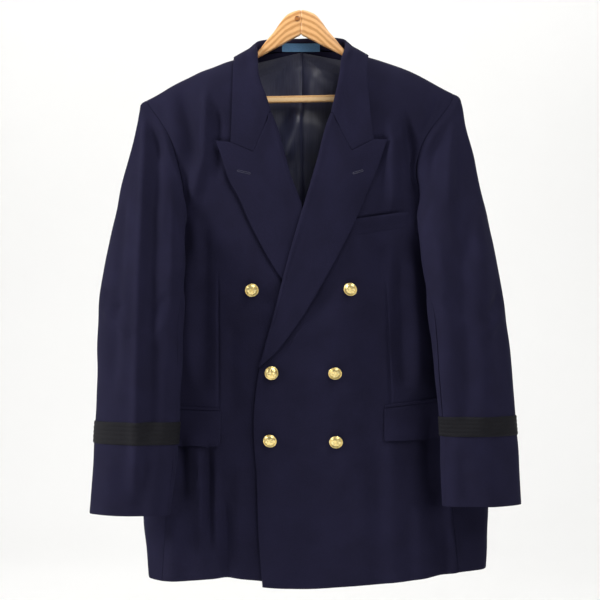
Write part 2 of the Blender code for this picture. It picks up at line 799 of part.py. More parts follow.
# The collar from the shoulder round to the middle of the back, in sections from its outer edge
# over the fold to the foot of the stand.
COLLAR_BACK = table(
    "station edge edge_out edge_down mid mid_out mid_down upper upper_out upper_down"
    " top top_out top_down inner inner_out inner_down stand stand_out stand_down",
    (0, 99, -20, 61, 84, -21, 52.5, 70, -22, 48, 66, -18.5, 46.5, 63.5, -15, 49, 68.5, -12.5, 53.5),
    (1, 98, 1, 56, 81, 1, 45.5, 70, 1, 38, 66, 0.5, 36, 64, 0, 39, 73, 0, 50.5),
    (2, 93, 10, 56.5, 78.5, 10, 44.5, 68, 9, 34, 64, 8, 31.5, 61.5, 6.5, 34.5, 68.5, 5.5, 50.5),
    (3, 83, 18, 64, 73, 17, 47, 64, 15.5, 32.5, 60, 13, 29.5, 57, 10.5, 32, 61.5, 9.5, 49.5),
    (4, 50, 25, 71, 44, 25, 50, 40, 25, 29.5, 38.5, 21.5, 26, 36.5, 18, 29, 36, 14, 46.2),
    (5, 0, 26.5, 73, 0, 27, 50, 0, 26, 29, 0, 22, 25.4, 0, 18.2, 28.5, 0, 16.3, 41.2),
)
COLLAR_SHARES = (1, 0.75, 0.54, 0.28)


def collar_section(station, side):
    """The collar's eight points at a station of the shoulder and back, mirrored for the side."""
    row = {name: values[station] for name, values in COLLAR_BACK.items()}
    rise = 0 if side == RIGHT else 3.0 * min(1, row["edge"] / 60)
    named = [
        np.array([side * row[place], row[place + "_out"], -(row[place + "_down"] - rise)])
        for place in ("edge", "mid", "upper", "top", "inner", "stand")
    ]
    edge, mid, upper = named[:3]
    return [edge, (edge + mid) / 2, mid, (mid + upper) / 2, upper, *named[3:]]


def collar(wool):
    halves = {}
    for side in (RIGHT, LEFT):
        rows = COLLAR_FRONT[side]
        fold = np.stack([rows["fold"], rows["fold_down"]], axis=-1)
        edge = np.stack([rows["edge"], rows["edge_down"]], axis=-1)
        past = (fold - edge) / np.linalg.norm(fold - edge, axis=1, keepdims=True)
        fade = np.clip(1 - np.arange(len(fold)) / 3.5, 0, 1)[:, None]
        gorge = GORGE[side]
        columns, heights = [], []
        for share in COLLAR_SHARES:
            straight = fold + (edge - fold) * share
            at = share * NOTCH_SHARE
            top = [np.interp(at, gorge["share"], gorge[name]) for name in ("across", "down")]
            columns.append(straight + (np.array(top) - straight[0]) * fade)
            heights.append(COLLAR_HEIGHT)
        for step, share in list(zip(FOLD_SECTION["past"], FOLD_SECTION["height"]))[::-1]:
            columns.append(fold + past * step)
            heights.append(COLLAR_HEIGHT * share + 0.3)
        flat = np.stack(columns, axis=1)
        flat[0, :, 1] -= 1.2 * SEAM
        flat[0, len(COLLAR_SHARES) :, 1] -= SEAM
        sections = list(front_point(side, flat[..., 0], flat[..., 1], np.array(heights)))
        sections += [collar_section(station, side) for station in range(len(COLLAR_BACK["edge"]))]
        halves[side] = sections
    points = np.array(halves[RIGHT] + halves[LEFT][-2::-1])
    normals = grid_directions(points)
    outward = points[:, 5] - (points[:, 0] + points[:, -1]) / 2
    normals = normals * np.sign((normals[:, 5] * outward).sum())
    wall("collar", points, normals, COLLAR, wool)


# Flat pieces on the fronts, each by its four corners: across and down at the inner and outer ends.
PATCHES = {
    "pocket_jetting_left": (LEFT, (121, 566.5, 571.6), (231, 553.7, 558.8), 1.5),
    "pocket_flap_left": (LEFT, (120.5, 572.5, 621), (229, 560, 613), 2.2),
    "pocket_jetting_right": (RIGHT, (-118.6, 571, 575.8), (-216, 569, 573.6), 1.5),
    "pocket_flap_right": (RIGHT, (-116.5, 576.6, 628), (-213, 574.6, 626), 2.2),
    "breast_welt": (LEFT, (70, 300.4, 322.5), (154.8, 287.4, 309.2), 2.0),
}
CORNER = 6.0
PATCH_GAP = 0.45


def out_on_panels(grids, across, down):
    """How far out the panels' triangles lie at places of the front, and NaN where there is none."""
    out = np.full(across.shape, np.nan)
    for grid in grids:
        a, b, c, d = grid[:-1, :-1], grid[:-1, 1:], grid[1:, 1:], grid[1:, :-1]
        for first, second, third in ((a, b, c), (a, c, d)):
            for p, q, r in zip(first.reshape(-1, 3), second.reshape(-1, 3), third.reshape(-1, 3)):
                sides = np.array([[q[0] - p[0], r[0] - p[0]], [q[2] - p[2], r[2] - p[2]]])
                area = sides[0, 0] * sides[1, 1] - sides[0, 1] * sides[1, 0]
                if abs(area) < 1e-9:
                    continue
                x, z = across - p[0], -down - p[2]
                u = (x * sides[1, 1] - z * sides[0, 1]) / area
                v = (z * sides[0, 0] - x * sides[1, 0]) / area
                inside = (u >= -1e-9) & (v >= -1e-9) & (u + v <= 1 + 1e-9)
                height = p[1] + u * (q[1] - p[1]) + v * (r[1] - p[1])
                out[inside] = np.fmin(out[inside], height[inside])
    return out


def patch(name, panels, wool):
    """A flat piece that follows the panels under it, with its lower corners cut back."""
    side, inner, outer, thickness = PATCHES[name]
    along = np.array([0, 0.04, 0.15, 0.27, 0.39, 0.51, 0.63, 0.75, 0.86, 0.96, 1])
    rounded = name.startswith("pocket_flap")
    shares = np.array([0, 0.5, 0.88, 1]) if rounded else np.array([0, 1])
    across = (inner[0] + (outer[0] - inner[0]) * along)[None, :] + 0 * shares[:, None]
    top = inner[1] + (outer[1] - inner[1]) * along
    bottom = inner[2] + (outer[2] - inner[2]) * along
    down = top + (bottom - top) * shares[:, None]
    if rounded:
        across[-1, 0] += side * CORNER * 0.5
        across[-1, -1] -= side * CORNER * 0.5
        down[-1, [0, -1]] -= CORNER * 0.3
    points = front_point(side, across, down, 0.0)
    normals = front_normals(side, across, down)
    under = [panels[kind + side_column(side)][0] for kind in ("front_", "side_")]
    out = out_on_panels(under, across, down)
    points[..., 1] = np.where(np.isnan(out), points[..., 1], out)
    wall(name, points + normals * (PATCH_GAP + thickness), normals, thickness, wool)


BUTTONS = table(
    "number across down tilt_across tilt_down",
    (1, -70.8, 400.8, 6, 8),
    (2, 70.1, 399.6, 8, 10),
    (3, -42.6, 520.2, 0, 0),
    (4, 48.7, 521.1, 0, 10),
    (5, -44.2, 618.2, 0, 8),
    (6, 50.4, 620.3, -2, 10),
)
BUTTON_PROFILE = table(
    "radius height",
    (2.6, 0.4),
    (2.6, 2.4),
    (9.3, 2.8),
    (10.0, 4.0),
    (8.6, 6.0),
    (4.6, 7.6),
)
BUTTON_TOP = 8.1
BUTTON_SIDES = 14


def turned(name, radii, heights, top, sides, spot, axis, finish):
    """A round solid about an axis, from its profile."""
    axis = np.asarray(axis, float) / np.linalg.norm(axis)
    first = np.cross(axis, (1, 0, 0))
    first /= np.linalg.norm(first)
    second = np.cross(axis, first)
    points = [spot + axis * heights[0]]
    for radius, height in zip(radii, heights):
        for i in range(sides):
            angle = 2 * math.pi * i / sides
            spoke = math.cos(angle) * first + math.sin(angle) * second
            points.append(spot + axis * height + radius * spoke)
    points.append(spot + axis * top)
    faces = []
    last = len(points) - 1
    for i in range(sides):
        beside = (i + 1) % sides
        faces.append((0, 1 + i, 1 + beside))
        faces.append((last, last - sides + i, last - sides + beside))
        for ring in range(len(radii) - 1):
            a, b = 1 + ring * sides + i, 1 + ring * sides + beside
            faces.append((a, b, b + sides, a + sides))
    return place_mesh(name, mesh_of(name, points, faces), finish)


def buttons(brass):
    for number, across, down, tilt_across, tilt_down in zip(*BUTTONS.values()):
        side = RIGHT if number == 1 else LEFT
        spot = front_point(side, across, down, 0.0)
        tilt = np.sin(np.radians([tilt_across, 0, -tilt_down]))
        axis = front_normals(side, across, down) + tilt
        turned(
            f"button_{int(number)}",
            BUTTON_PROFILE["radius"],
            BUTTON_PROFILE["height"],
            BUTTON_TOP,
            BUTTON_SIDES,
            spot,
            axis,
            brass,
        )


LINING_HEM = 15.0


def back_lining(panels, side, satin):
    """The lining that hangs inside the back, from the neck to just above the hem."""
    points, normals = panels["back_" + side_column(side)]
    columns = points.shape[1] - 1
    points, normals = points[:, :columns].copy(), normals[:, :columns]
    points[-1, :, 2] += LINING_HEM
    rows = slice(2, None)
    wall(
        "back_lining_" + side_column(side),
        points[rows] - normals[rows] * (CLOTH + SEAM),
        normals[rows],
        LINING,
        satin,
    )


LABEL_HALF, LABEL_TOP, LABEL_FOOT, LABEL = 28.0, 33.6, 46.0, 0.6


def neck_label(cloth):
    across = np.linspace(-LABEL_HALF, LABEL_HALF, 7)[None, :] + np.zeros((2, 1))
    down = np.array([[LABEL_TOP], [LABEL_FOOT]]) + 0 * across
    out = 15.0 - 2.3 * (across / 36) ** 2
    points = np.stack([across, out, -down], axis=-1)
    wall("neck_label", points, facing(grid_directions(points), (0, -1, 0)), LABEL, cloth)


# The hanger's arm: its upper and lower outline, from the middle joint to the shoulder's end.
ARM = table(
    "across top bottom half_depth",
    (0.15, -12.8, 22.4, 6.5),
    (6, -12.6, 25.6, 6.5),
    (12, -10.8, 28.8, 6.5),
    (22.5, -5, 34.3, 6.5),
    (31.5, 6, 39, 6.5),
    (39.5, 17.5, 43.2, 6.2),
    (50, 29.5, 48.8, 5.4),
    (60, 42, 54, 4.8),
    (67, 49, 58, 4.6),
    (72, 53.2, 62, 4.8),
    (80, 55.6, 67, 5.6),
    (97, 61, 74, 6.2),
    (115, 67.3, 81, 6.5),
    (130, 72.4, 87, 6.5),
    (149, 80.05, 95.5, 6.5),
    (171, 89.7, 106, 6.5),
    (182.2, 95.5, 111.5, 6.5),
    (182.4, 95.6, 127, 6.5),
    (200, 106, 129, 6.5),
)
ARM_CHAMFER = 2.6
HANGER_SLANT = 0.02
BAR_HALF, BAR_DOWN, BAR_END, BAR_CHAMFER = 5.0, 118.0, 181.9, 1.6
PEG_RADIUS, PEG_HOLE, PEG_FRONT, PEG_BACK = 4.1, 4.5, -8.5, 36.0
PEG_SIDES, PEG_CHAMFER = 16, 1.2
HOLE_REACH = 20.0


def chamfered(top, bottom, half_depth, chamfer):
    """The eight corners of a bar's section, as out and down."""
    return [
        (-half_depth, top + chamfer),
        (-half_depth + chamfer, top),
        (half_depth - chamfer, top),
        (half_depth, top + chamfer),
        (half_depth, bottom - chamfer),
        (half_depth - chamfer, bottom),
        (-half_depth + chamfer, bottom),
        (-half_depth, bottom - chamfer),
    ]


def lofted(name, sections, finish):
    """A solid through sections of eight corners, each given with how far across it stands."""
    points, faces = [], []
    for across, corners in sections:
        points += [(across, out, -(down - HANGER_SLANT * across)) for out, down in corners]
    for i in range(len(sections) - 1):
        for j in range(8):
            a, b = 8 * i + j, 8 * i + (j + 1) % 8
            faces.append((a, b, b + 8, a + 8))
    faces.append(tuple(range(8)))
    faces.append(tuple(range(len(points) - 8, len(points))))
    return place_mesh(name, mesh_of(name, points, faces), finish)


def hanger(wood, peg_wood):
    """Two arms that meet in the middle, the bar between their ends, and the peg through the right arm."""
    peg_spot = np.array([-CENTRE_ACROSS, 0, 0])
    for side in (RIGHT, LEFT):
        sections = [
            (side * across, chamfered(top, bottom, half_depth, ARM_CHAMFER))
            for across, top, bottom, half_depth in zip(*ARM.values())
        ]
        arm = lofted("hanger_arm_" + side_column(side), sections, wood)
        if side == RIGHT:
            radii, heights = [PEG_HOLE] * 2, (-HOLE_REACH, HOLE_REACH)
            hole = turned("peg_hole", radii, heights, HOLE_REACH, PEG_SIDES, peg_spot, (0, 1, 0), wood)
            hole.hide_render = True
            hole.display_type = "WIRE"
            cut = arm.modifiers.new("peg hole", "BOOLEAN")
            cut.object = hole
            cut.operation = "DIFFERENCE"
    section = chamfered(BAR_DOWN - BAR_HALF, BAR_DOWN + BAR_HALF, BAR_HALF, BAR_CHAMFER)
    lofted("hanger_bar", [(-BAR_END, section), (BAR_END, section)], wood)
    radii = [PEG_RADIUS, PEG_RADIUS, PEG_RADIUS - PEG_CHAMFER]
    heights = [-PEG_BACK, -PEG_FRONT - PEG_CHAMFER, -PEG_FRONT]
    turned("wall_peg", radii, heights, heights[-1], PEG_SIDES, peg_spot, (0, -1, 0), peg_wood)


def main():
    for thing in list(bpy.data.objects):
        bpy.data.objects.remove(thing)
    wool = material("navy_wool", (0.017, 0.016, 0.034), 0.85)
    satin = material("lining_satin", (0.025, 0.025, 0.045), 0.35)
    black_braid = material("black_braid", (0.012, 0.012, 0.014), 0.7)
    label_cloth = material("label_cloth", (0.035, 0.09, 0.19), 0.6)
    brass = material("gilt_brass", (0.78, 0.5, 0.16), 0.25, metallic=1.0)
    wood = material("hanger_wood", (0.78, 0.45, 0.16), 0.5)
    peg_wood = material("peg_wood", (0.35, 0.13, 0.03), 0.6)
    panels = body_panels()
    for name, (points, normals) in panels.items():
        wall(name, points, normals, CLOTH, wool)
    for side in (RIGHT, LEFT):
        sleeve(panels, side, wool, black_braid)
        lapel(side, wool)
        back_lining(panels, side, satin)
    collar(wool)
    for name in PATCHES:
        patch(name, panels, wool)
    buttons(brass)
    neck_label(label_cloth)
    hanger(wood, peg_wood)


main()
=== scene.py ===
"""Looks of a double-breasted navy blazer that hangs on a wooden hanger from a wall peg.

Metres, +Z up, X to the wearer's left, +Y towards the wall. Sizes and tables are in millimetres:
across is measured from the coat's centre line and down from the peg. Each piece of cloth is a
fine shell worked out from the grid of points of its own solid in the frame.
"""

import math

import bmesh
import bpy
import numpy as np
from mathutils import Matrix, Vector
from mathutils.bvhtree import BVHTree


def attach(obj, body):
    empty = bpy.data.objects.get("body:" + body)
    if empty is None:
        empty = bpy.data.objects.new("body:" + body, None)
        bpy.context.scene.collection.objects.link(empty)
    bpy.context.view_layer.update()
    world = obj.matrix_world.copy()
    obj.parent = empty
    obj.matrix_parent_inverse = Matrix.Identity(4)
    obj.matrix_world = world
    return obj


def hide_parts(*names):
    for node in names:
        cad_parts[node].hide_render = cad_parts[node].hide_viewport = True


MM = 0.001
CENTRE = 5.5
RIGHT, LEFT = -1, 1
SIDES = {"right": RIGHT, "left": LEFT}

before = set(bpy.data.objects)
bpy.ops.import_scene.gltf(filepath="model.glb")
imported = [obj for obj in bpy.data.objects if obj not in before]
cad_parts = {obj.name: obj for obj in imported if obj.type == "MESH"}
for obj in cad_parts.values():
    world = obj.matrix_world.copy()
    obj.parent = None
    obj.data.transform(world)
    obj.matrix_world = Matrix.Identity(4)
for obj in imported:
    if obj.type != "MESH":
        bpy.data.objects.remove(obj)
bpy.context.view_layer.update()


# Finishes

# A wave texture of scale 1 repeats every pi / 10 units, so this over a pitch in millimetres is its scale.
WAVE = math.pi / 10
TIMES_PLUS = {"operation": "MULTIPLY_ADD"}


def linear(hex_colour):
    """A colour written as sRGB hex, as the linear values that a shader takes."""
    values = [int(hex_colour[i : i + 2], 16) / 255 for i in (1, 3, 5)]
    return (*[v / 12.92 if v <= 0.04045 else ((v + 0.055) / 1.055) ** 2.4 for v in values], 1)


def feed(node, **inputs):
    """Feed a node's inputs, each by its name or as i0, i1 or i2, with a value or another node's output."""
    for name, value in inputs.items():
        place = int(name[1:]) if name[1:].isdigit() else name.replace("_", " ")
        if isinstance(value, bpy.types.NodeSocket):
            node.id_data.links.new(value, node.inputs[place])
        else:
            node.inputs[place].default_value = value


def add(tree, kind, settings=None, stops=(), **inputs):
    """A node of this kind with its settings and links. The stops are a ramp's two places and colours."""
    made = tree.nodes.new(kind)
    for name, value in (settings or {}).items():
        setattr(made, name, value)
    for i, (place, colour) in enumerate(stops):
        made.color_ramp.elements[i].position = place
        made.color_ramp.elements[i].color = linear(colour)
    feed(made, **inputs)
    return made


def new_finish(name, roughness, on_grain=True):
    """An empty finish: its tree, its shader, and the place of each point along the grain or in space."""
    made = bpy.data.materials.new(name)
    made.use_nodes = True
    tree = made.node_tree
    shader = tree.nodes["Principled BSDF"]
    feed(shader, Roughness=roughness)
    if on_grain:
        place = add(tree, "ShaderNodeAttribute", {"attribute_name": "grain"}).outputs["Vector"]
    else:
        place = add(tree, "ShaderNodeTexCoord").outputs["Object"]
    return made, tree, shader, place


def dress(tree, shader, stops, tone, height=None, **relief):
    """Colour a finish by one factor and raise it by another."""
    shade = add(tree, "ShaderNodeValToRGB", stops=stops, Fac=tone)
    feed(shader, Base_Color=shade.outputs["Color"])
    if relief:
        bump = add(tree, "ShaderNodeBump", Height=height, **relief)
        feed(shader, Normal=bump.outputs["Normal"])


# Worsted twill, woven and pressed: threads of 0.5 mm. The diagonal rib is drawn 1.9 mm apart, because
# the real one of about 0.9 mm is finer than a pixel. Slubs of 2 mm and clouds of 55 mm vary its tone.
TWILL_PITCH, TWILL_SLOPE = 1.9, math.radians(63)


def navy_wool():
    """Matt wool with a soft bloom where it turns away, from the fibre ends that stand up."""
    made, tree, shader, place = new_finish("worsted twill, navy", 0.82)
    slanted = add(tree, "ShaderNodeMapping", Vector=place, Rotation=(0, 0, TWILL_SLOPE))
    rib = add(tree, "ShaderNodeTexWave", Vector=slanted.outputs["Vector"], Scale=WAVE / TWILL_PITCH)
    feed(rib, Distortion=0.6, Detail=1.0, Detail_Scale=2.0)
    slub = add(tree, "ShaderNodeTexNoise", Vector=place, Scale=0.55, Detail=3.0)
    cloud = add(tree, "ShaderNodeTexNoise", Vector=place, Scale=0.018, Detail=3.0)
    faint = add(tree, "ShaderNodeMath", {"operation": "MULTIPLY"}, i0=slub.outputs["Fac"], i1=0.5)
    tone = add(tree, "ShaderNodeMath", TIMES_PLUS, i0=cloud.outputs["Fac"], i1=0.5, i2=faint.outputs["Value"])
    weave = add(tree, "ShaderNodeMath", TIMES_PLUS, i0=rib.outputs["Fac"], i1=0.6, i2=faint.outputs["Value"])
    stops = (0.30, "#191829"), (0.70, "#212036")
    dress(tree, shader, stops, tone.outputs["Value"], weave.outputs["Value"], Strength=0.35, Distance=0.0004)
    feed(shader, Sheen_Weight=0.03, Sheen_Roughness=0.4, Sheen_Tint=linear("#8f93c8"))
    feed(shader, Specular_IOR_Level=0.05)
    return made


# Rayon satin, woven with long floats and calendered: smooth and streaky along the thread, and softly
# crumpled, since it is so thin. A crumple is about 32 mm across and lies across the thread.
SATIN_CRUMPLE = 32.0


def lining_satin():
    """Glossy dark satin, whose light breaks up along the crumples."""
    made, tree, shader, place = new_finish("rayon satin, dark navy", 0.43)
    drawn = add(tree, "ShaderNodeMapping", Vector=place, Scale=(1.0, 0.03, 1.0))
    thread = add(tree, "ShaderNodeTexNoise", Vector=drawn.outputs["Vector"], Scale=0.9, Detail=4.0)
    pressed = add(tree, "ShaderNodeMapping", Vector=place, Scale=(0.45, 1.0, 1.0), Rotation=(0, 0, 0.25))
    fold = add(tree, "ShaderNodeTexNoise", Vector=pressed.outputs["Vector"], Detail=1.0)
    feed(fold, Scale=1 / SATIN_CRUMPLE)
    broad = add(tree, "ShaderNodeBump", Strength=1.0, Distance=0.0032, Height=fold.outputs["Fac"])
    streak, stops = thread.outputs["Fac"], ((0.3, "#222437"), (0.7, "#34364d"))
    dress(tree, shader, stops, streak, streak, Strength=0.25, Distance=0.0002, Normal=broad.outputs["Normal"])
    feed(shader, Sheen_Weight=0.3, Sheen_Roughness=0.3, Sheen_Tint=linear("#6f7fc0"), Specular_IOR_Level=0.42)
    return made


# Mohair braid, woven flat with raised ribs: each rib has slanting threads 0.8 mm apart.
BRAID_THREAD, BRAID_SLOPE = 0.8, math.radians(35)
# A satin label with threads across it, which dull its gloss. They are drawn this far apart, because
# the real ones of 0.1 mm are too fine to show.
LABEL_THREAD = 0.8


def fine_weave(name, roughness, slope, bands, thread, distortion, speck, stops, **relief):
    """Narrow woven goods: threads in relief on a ground that is flecked in two shades."""
    made, tree, shader, place = new_finish(name, roughness)
    slanted = add(tree, "ShaderNodeMapping", Vector=place, Rotation=(0, 0, slope))
    ridge = add(tree, "ShaderNodeTexWave", {"bands_direction": bands}, Vector=slanted.outputs["Vector"])
    feed(ridge, Scale=WAVE / thread, Distortion=distortion)
    fleck = add(tree, "ShaderNodeTexNoise", Vector=place, Scale=speck, Detail=2.0)
    dress(tree, shader, stops, fleck.outputs["Fac"], ridge.outputs["Fac"], **relief)
    return made, shader


def ribbed_braid():
    """Dull black braid."""
    stops = (0.3, "#131316"), (0.7, "#202025")
    relief = {"Strength": 0.5, "Distance": 0.0004}
    name = "mohair braid, black"
    made, shader = fine_weave(name, 0.6, BRAID_SLOPE, "X", BRAID_THREAD, 0.8, 0.7, stops, **relief)
    feed(shader, Specular_IOR_Level=0.08)
    return made


def woven_label():
    """A bare blue satin label with fine cross threads."""
    stops = (0.3, "#41729f"), (0.7, "#5c8db8")
    relief = {"Strength": 0.4, "Distance": 0.0003}
    return fine_weave("woven label, blue", 0.5, 0.0, "Y", LABEL_THREAD, 0.5, 0.8, stops, **relief)[0]


def silk_thread():
    """Buttonhole silk, twisted: a small gloss on every wrap."""
    made, tree, shader, place = new_finish("buttonhole silk, navy", 0.45, on_grain=False)
    fleck = add(tree, "ShaderNodeTexNoise", Vector=place, Scale=900.0, Detail=2.0)
    stops = (0.3, "#202034"), (0.7, "#2d2d46")
    dress(tree, shader, stops, fleck.outputs["Fac"])
    return made


def gilt_brass():
    """Brass, stamped, gilt and lacquered: bright, with dents of about 2 mm that spread its reflections."""
    made, tree, shader, place = new_finish("gilt brass, stamped", 0.3, on_grain=False)
    dent = add(tree, "ShaderNodeTexNoise", Vector=place, Scale=420.0, Detail=3.0)
    stops = (0.3, "#f3d27a"), (0.65, "#ffefb0")
    dress(tree, shader, stops, dent.outputs["Fac"], dent.outputs["Fac"], Strength=0.2, Distance=0.0002)
    dull = add(tree, "ShaderNodeMapRange", Value=dent.outputs["Fac"], To_Min=0.3, To_Max=0.42)
    feed(shader, Metallic=1.0, Roughness=dull.outputs["Result"])
    return made


# Softwood, planed, shaped and varnished: thin dark growth rings about 8 mm apart run with the arm.
RING_PITCH = 8.0


def varnished_wood(name, pale, dark):
    """Wood under a thin clear coat, streaked lengthwise."""
    made, tree, shader, place = new_finish(name, 0.38)
    drawn = add(tree, "ShaderNodeMapping", Vector=place, Scale=(0.10, 1.0, 1.0))
    lengthwise = {"bands_direction": "Y"}
    ring = add(tree, "ShaderNodeTexWave", lengthwise, Vector=drawn.outputs["Vector"], Scale=WAVE / RING_PITCH)
    feed(ring, Distortion=5.0, Detail=2.0, Detail_Scale=0.5)
    fibre = add(tree, "ShaderNodeTexNoise", Vector=drawn.outputs["Vector"], Scale=1.6, Detail=4.0)
    tone = add(tree, "ShaderNodeMath", TIMES_PLUS, i0=ring.outputs["Fac"], i1=0.55, i2=fibre.outputs["Fac"])
    stops = (0.62, pale), (1.02, dark)
    dress(tree, shader, stops, tone.outputs["Value"], fibre.outputs["Fac"], Strength=0.15, Distance=0.0003)
    feed(shader, Coat_Weight=0.25, Coat_Roughness=0.25)
    return made


def pale_ground():
    """The matt paper sweep behind and under the coat."""
    made, tree, shader, place = new_finish("pale matt ground", 0.9, on_grain=False)
    cloud = add(tree, "ShaderNodeTexNoise", Vector=place, Scale=0.6)
    stops = (0.3, "#f3f3f2"), (0.7, "#f7f7f6")
    dress(tree, shader, stops, cloud.outputs["Fac"])
    return made


# Grids read from the frame

# How near two corners of the solid's faces are one, in metres.
MERGE = 0.00001
# How exactly an edge through the cloth is as long as the cloth is thick.
THROUGH = 0.003


def outer_face(node, thickness, way):
    """The outer face of a thin solid: its points, each one's neighbours, its rim and its corners.

    The faces of the rim are those with an edge exactly as long as the cloth is thick, but for a few
    that touch only one face's points. The outer face is the one that looks the given way, or else the
    larger.
    """
    mesh = bmesh.new()
    mesh.from_mesh(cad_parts[node].data)
    bmesh.ops.remove_doubles(mesh, verts=mesh.verts, dist=MERGE)
    mesh.normal_update()
    mesh.faces.index_update()
    mesh.verts.index_update()
    through = {edge for edge in mesh.edges if abs(edge.calc_length() / MM - thickness) < THROUGH}
    home = {face.index: -1 for face in mesh.faces if through & set(face.edges)}
    faces = []
    for start in mesh.faces:
        if start.index in home:
            continue
        home[start.index] = len(faces)
        found = [start]
        for face in found:
            for edge in face.edges:
                for other in edge.link_faces:
                    if other.index not in home:
                        home[other.index] = len(faces)
                        found.append(other)
        faces.append(found)
    faces = sorted(faces, key=len)[-2:]
    sides = [{vert for face in found for vert in face.verts} for found in faces]
    for face in mesh.faces:
        if home[face.index] == -1:
            inside = [len(side.intersection(face.verts)) for side in sides]
            if max(inside) > 1 and min(inside) == 0:
                faces[inside.index(max(inside))].append(face)
    scores = [sum(face.calc_area() * (face.normal.y * way if way else 1) for face in side) for side in faces]
    seen = set(faces[int(np.argmax(scores))])
    points, beside, rim, count = {}, {}, {}, {}
    for face in seen:
        for vert in face.verts:
            points[vert.index] = np.array(vert.co) / MM
            count[vert.index] = count.get(vert.index, 0) + 1
        for edge in face.edges:
            a, b = (vert.index for vert in edge.verts)
            beside.setdefault(a, set()).add(b)
            beside.setdefault(b, set()).add(a)
            if len(seen.intersection(edge.link_faces)) == 1:
                rim.setdefault(a, set()).add(b)
                rim.setdefault(b, set()).add(a)
    mesh.free()
    return points, beside, rim, sorted(i for i in rim if count[i] <= 2)


def rim_line(rim, start, second, ends):
    """The points along a rim from one to the first that is in ends."""
    line = [start, second]
    while line[-1] not in ends:
        line.append(next(i for i in sorted(rim[line[-1]]) if i != line[-2]))
    return line


def cloth_grid(node, thickness, way=None, long_rows=False):
    """A piece of cloth as rows of points on its outer face.

    Rows run down the piece and each starts at the coat's middle. With long_rows there are more rows
    than columns and each starts furthest from the middle, as on a collar.
    """
    points, beside, rim, corners = outer_face(node, thickness, way)
    first = rim_line(rim, corners[0], sorted(rim[corners[0]])[0], corners)
    lines, seen = [first], set(first)
    while True:
        ring = {i for j in lines[-1] for i in beside[j]} - seen
        if not ring:
            break
        line = [next(i for i in sorted(rim[lines[-1][0]]) if i in ring)]
        while len(line) < len(ring):
            line.append(next(i for i in sorted(beside[line[-1]]) if i in ring and i not in line))
        lines.append(line)
        seen |= ring
    grid = np.array([[points[i] for i in line] for line in lines])
    height = grid[..., 2]
    row_drop = abs(height[0].mean() - height[-1].mean())
    column_drop = abs(height[:, 0].mean() - height[:, -1].mean())
    crosswise = grid.shape[0] < grid.shape[1] if long_rows else column_drop > row_drop
    if crosswise:
        grid = grid.transpose(1, 0, 2)
    far = np.abs(grid[..., 0] - CENTRE)
    order = grid[..., 0] if long_rows else -grid[..., 2]
    if order[0].mean() > order[-1].mean():
        grid = grid[::-1]
    if (far[:, 0].mean() > far[:, -1].mean()) != long_rows:
        grid = grid[:, ::-1]
    return grid


def ring_grid(node, thickness):
    """A closed band of cloth as two rings of points on its outer face, the upper one first."""
    points, _, rim, _ = outer_face(node, thickness, None)
    left = set(rim)
    rings = []
    while left:
        start = min(left, key=lambda i: points[i][0])
        line = rim_line(rim, start, sorted(rim[start])[0], [start])[:-1]
        left -= set(line)
        rings.append(np.array([points[i] for i in line]))
    rings.sort(key=lambda ring: -ring[:, 2].mean())
    for i, ring in enumerate(rings):
        if np.cross(ring[1] - ring[0], ring[2] - ring[1])[2] < 0:
            rings[i] = np.roll(ring[::-1], 1, axis=0)
    return np.array(rings)


# Fine shells

# Lines close to the borders of a piece, so that its edges can be pressed round: how far the outside
# drops, how much thinner the edge gets, and from which thickness on the drop is full.
EDGE_STEPS = np.array([0.5, 1.1, 2.0, 3.2])
EDGE_DROP, EDGE_THINNER, FULL_DROP = 0.3, 0.25, 1.5
# How far apart the lines are where a groove needs them close.
CLOSE = 1.1
# Faces that meet at more than this are shaded as a corner.
CORNER = math.radians(48)


def smooth(t):
    """From 0 to 1 with soft ends."""
    t = np.clip(t, 0, 1)
    return t * t * (3 - 2 * t)


def knots_of(grid):
    """How far along a grid's first axis its lines lie, by their mean spacing."""
    steps = np.linalg.norm(np.diff(grid, axis=0), axis=-1).mean(axis=1)
    return np.concatenate([[0], np.cumsum(steps)])


def places_along(knots, spacing, close_runs=()):
    """Places with about this spacing and at each knot, and closer by both ends and in the close runs."""
    places = [knots[:1]]
    for a, b in zip(knots, knots[1:]):
        places.append(np.linspace(a, b, max(1, round((b - a) / spacing)) + 1)[1:])
    places = np.concatenate(places)
    for low, high in close_runs:
        places = places[(places < low) | (places > high)]
        places = np.unique(np.concatenate([places, np.arange(low, high, CLOSE)]))
    close = np.concatenate([knots[0] + EDGE_STEPS, knots[-1] - EDGE_STEPS])
    reach = EDGE_STEPS[-1] + 0.5
    inner = places[(places > knots[0] + reach) & (places < knots[-1] - reach)]
    return np.unique(np.concatenate([knots[[0, -1]], close, inner]))


def curve_through(points, knots, at, kinks=()):
    """Points at other places, on a smooth curve through the given ones with corners at the kinks."""
    parts = []
    ends = [0, *kinks, len(knots) - 1]
    for first, last in zip(ends, ends[1:]):
        p, k = points[first : last + 1], knots[first : last + 1]
        here = at[(at >= k[0]) & ((at < k[-1]) | (last == len(knots) - 1))]
        step = np.diff(k)[:, None, None]
        rise = np.diff(p, axis=0) / step
        slope = np.empty_like(p)
        if len(step) > 1:
            slope[1:-1] = (rise[:-1] * step[1:] + rise[1:] * step[:-1]) / (step[1:] + step[:-1])
            slope[0] = 1.5 * rise[0] - 0.5 * slope[1]
            slope[-1] = 1.5 * rise[-1] - 0.5 * slope[-2]
        else:
            slope[:] = rise[0]
        i = np.clip(np.searchsorted(k, here, side="right") - 1, 0, len(step) - 1)
        t = ((here - k[i]) / step[i, 0, 0])[:, None, None]
        between = p[i] * (1 + 2 * t) * (1 - t) ** 2 + p[i + 1] * t * t * (3 - 2 * t)
        bend = slope[i] * (1 - t) - slope[i + 1] * t
        parts.append(between + step[i] * t * (1 - t) * bend)
    return np.concatenate(parts)


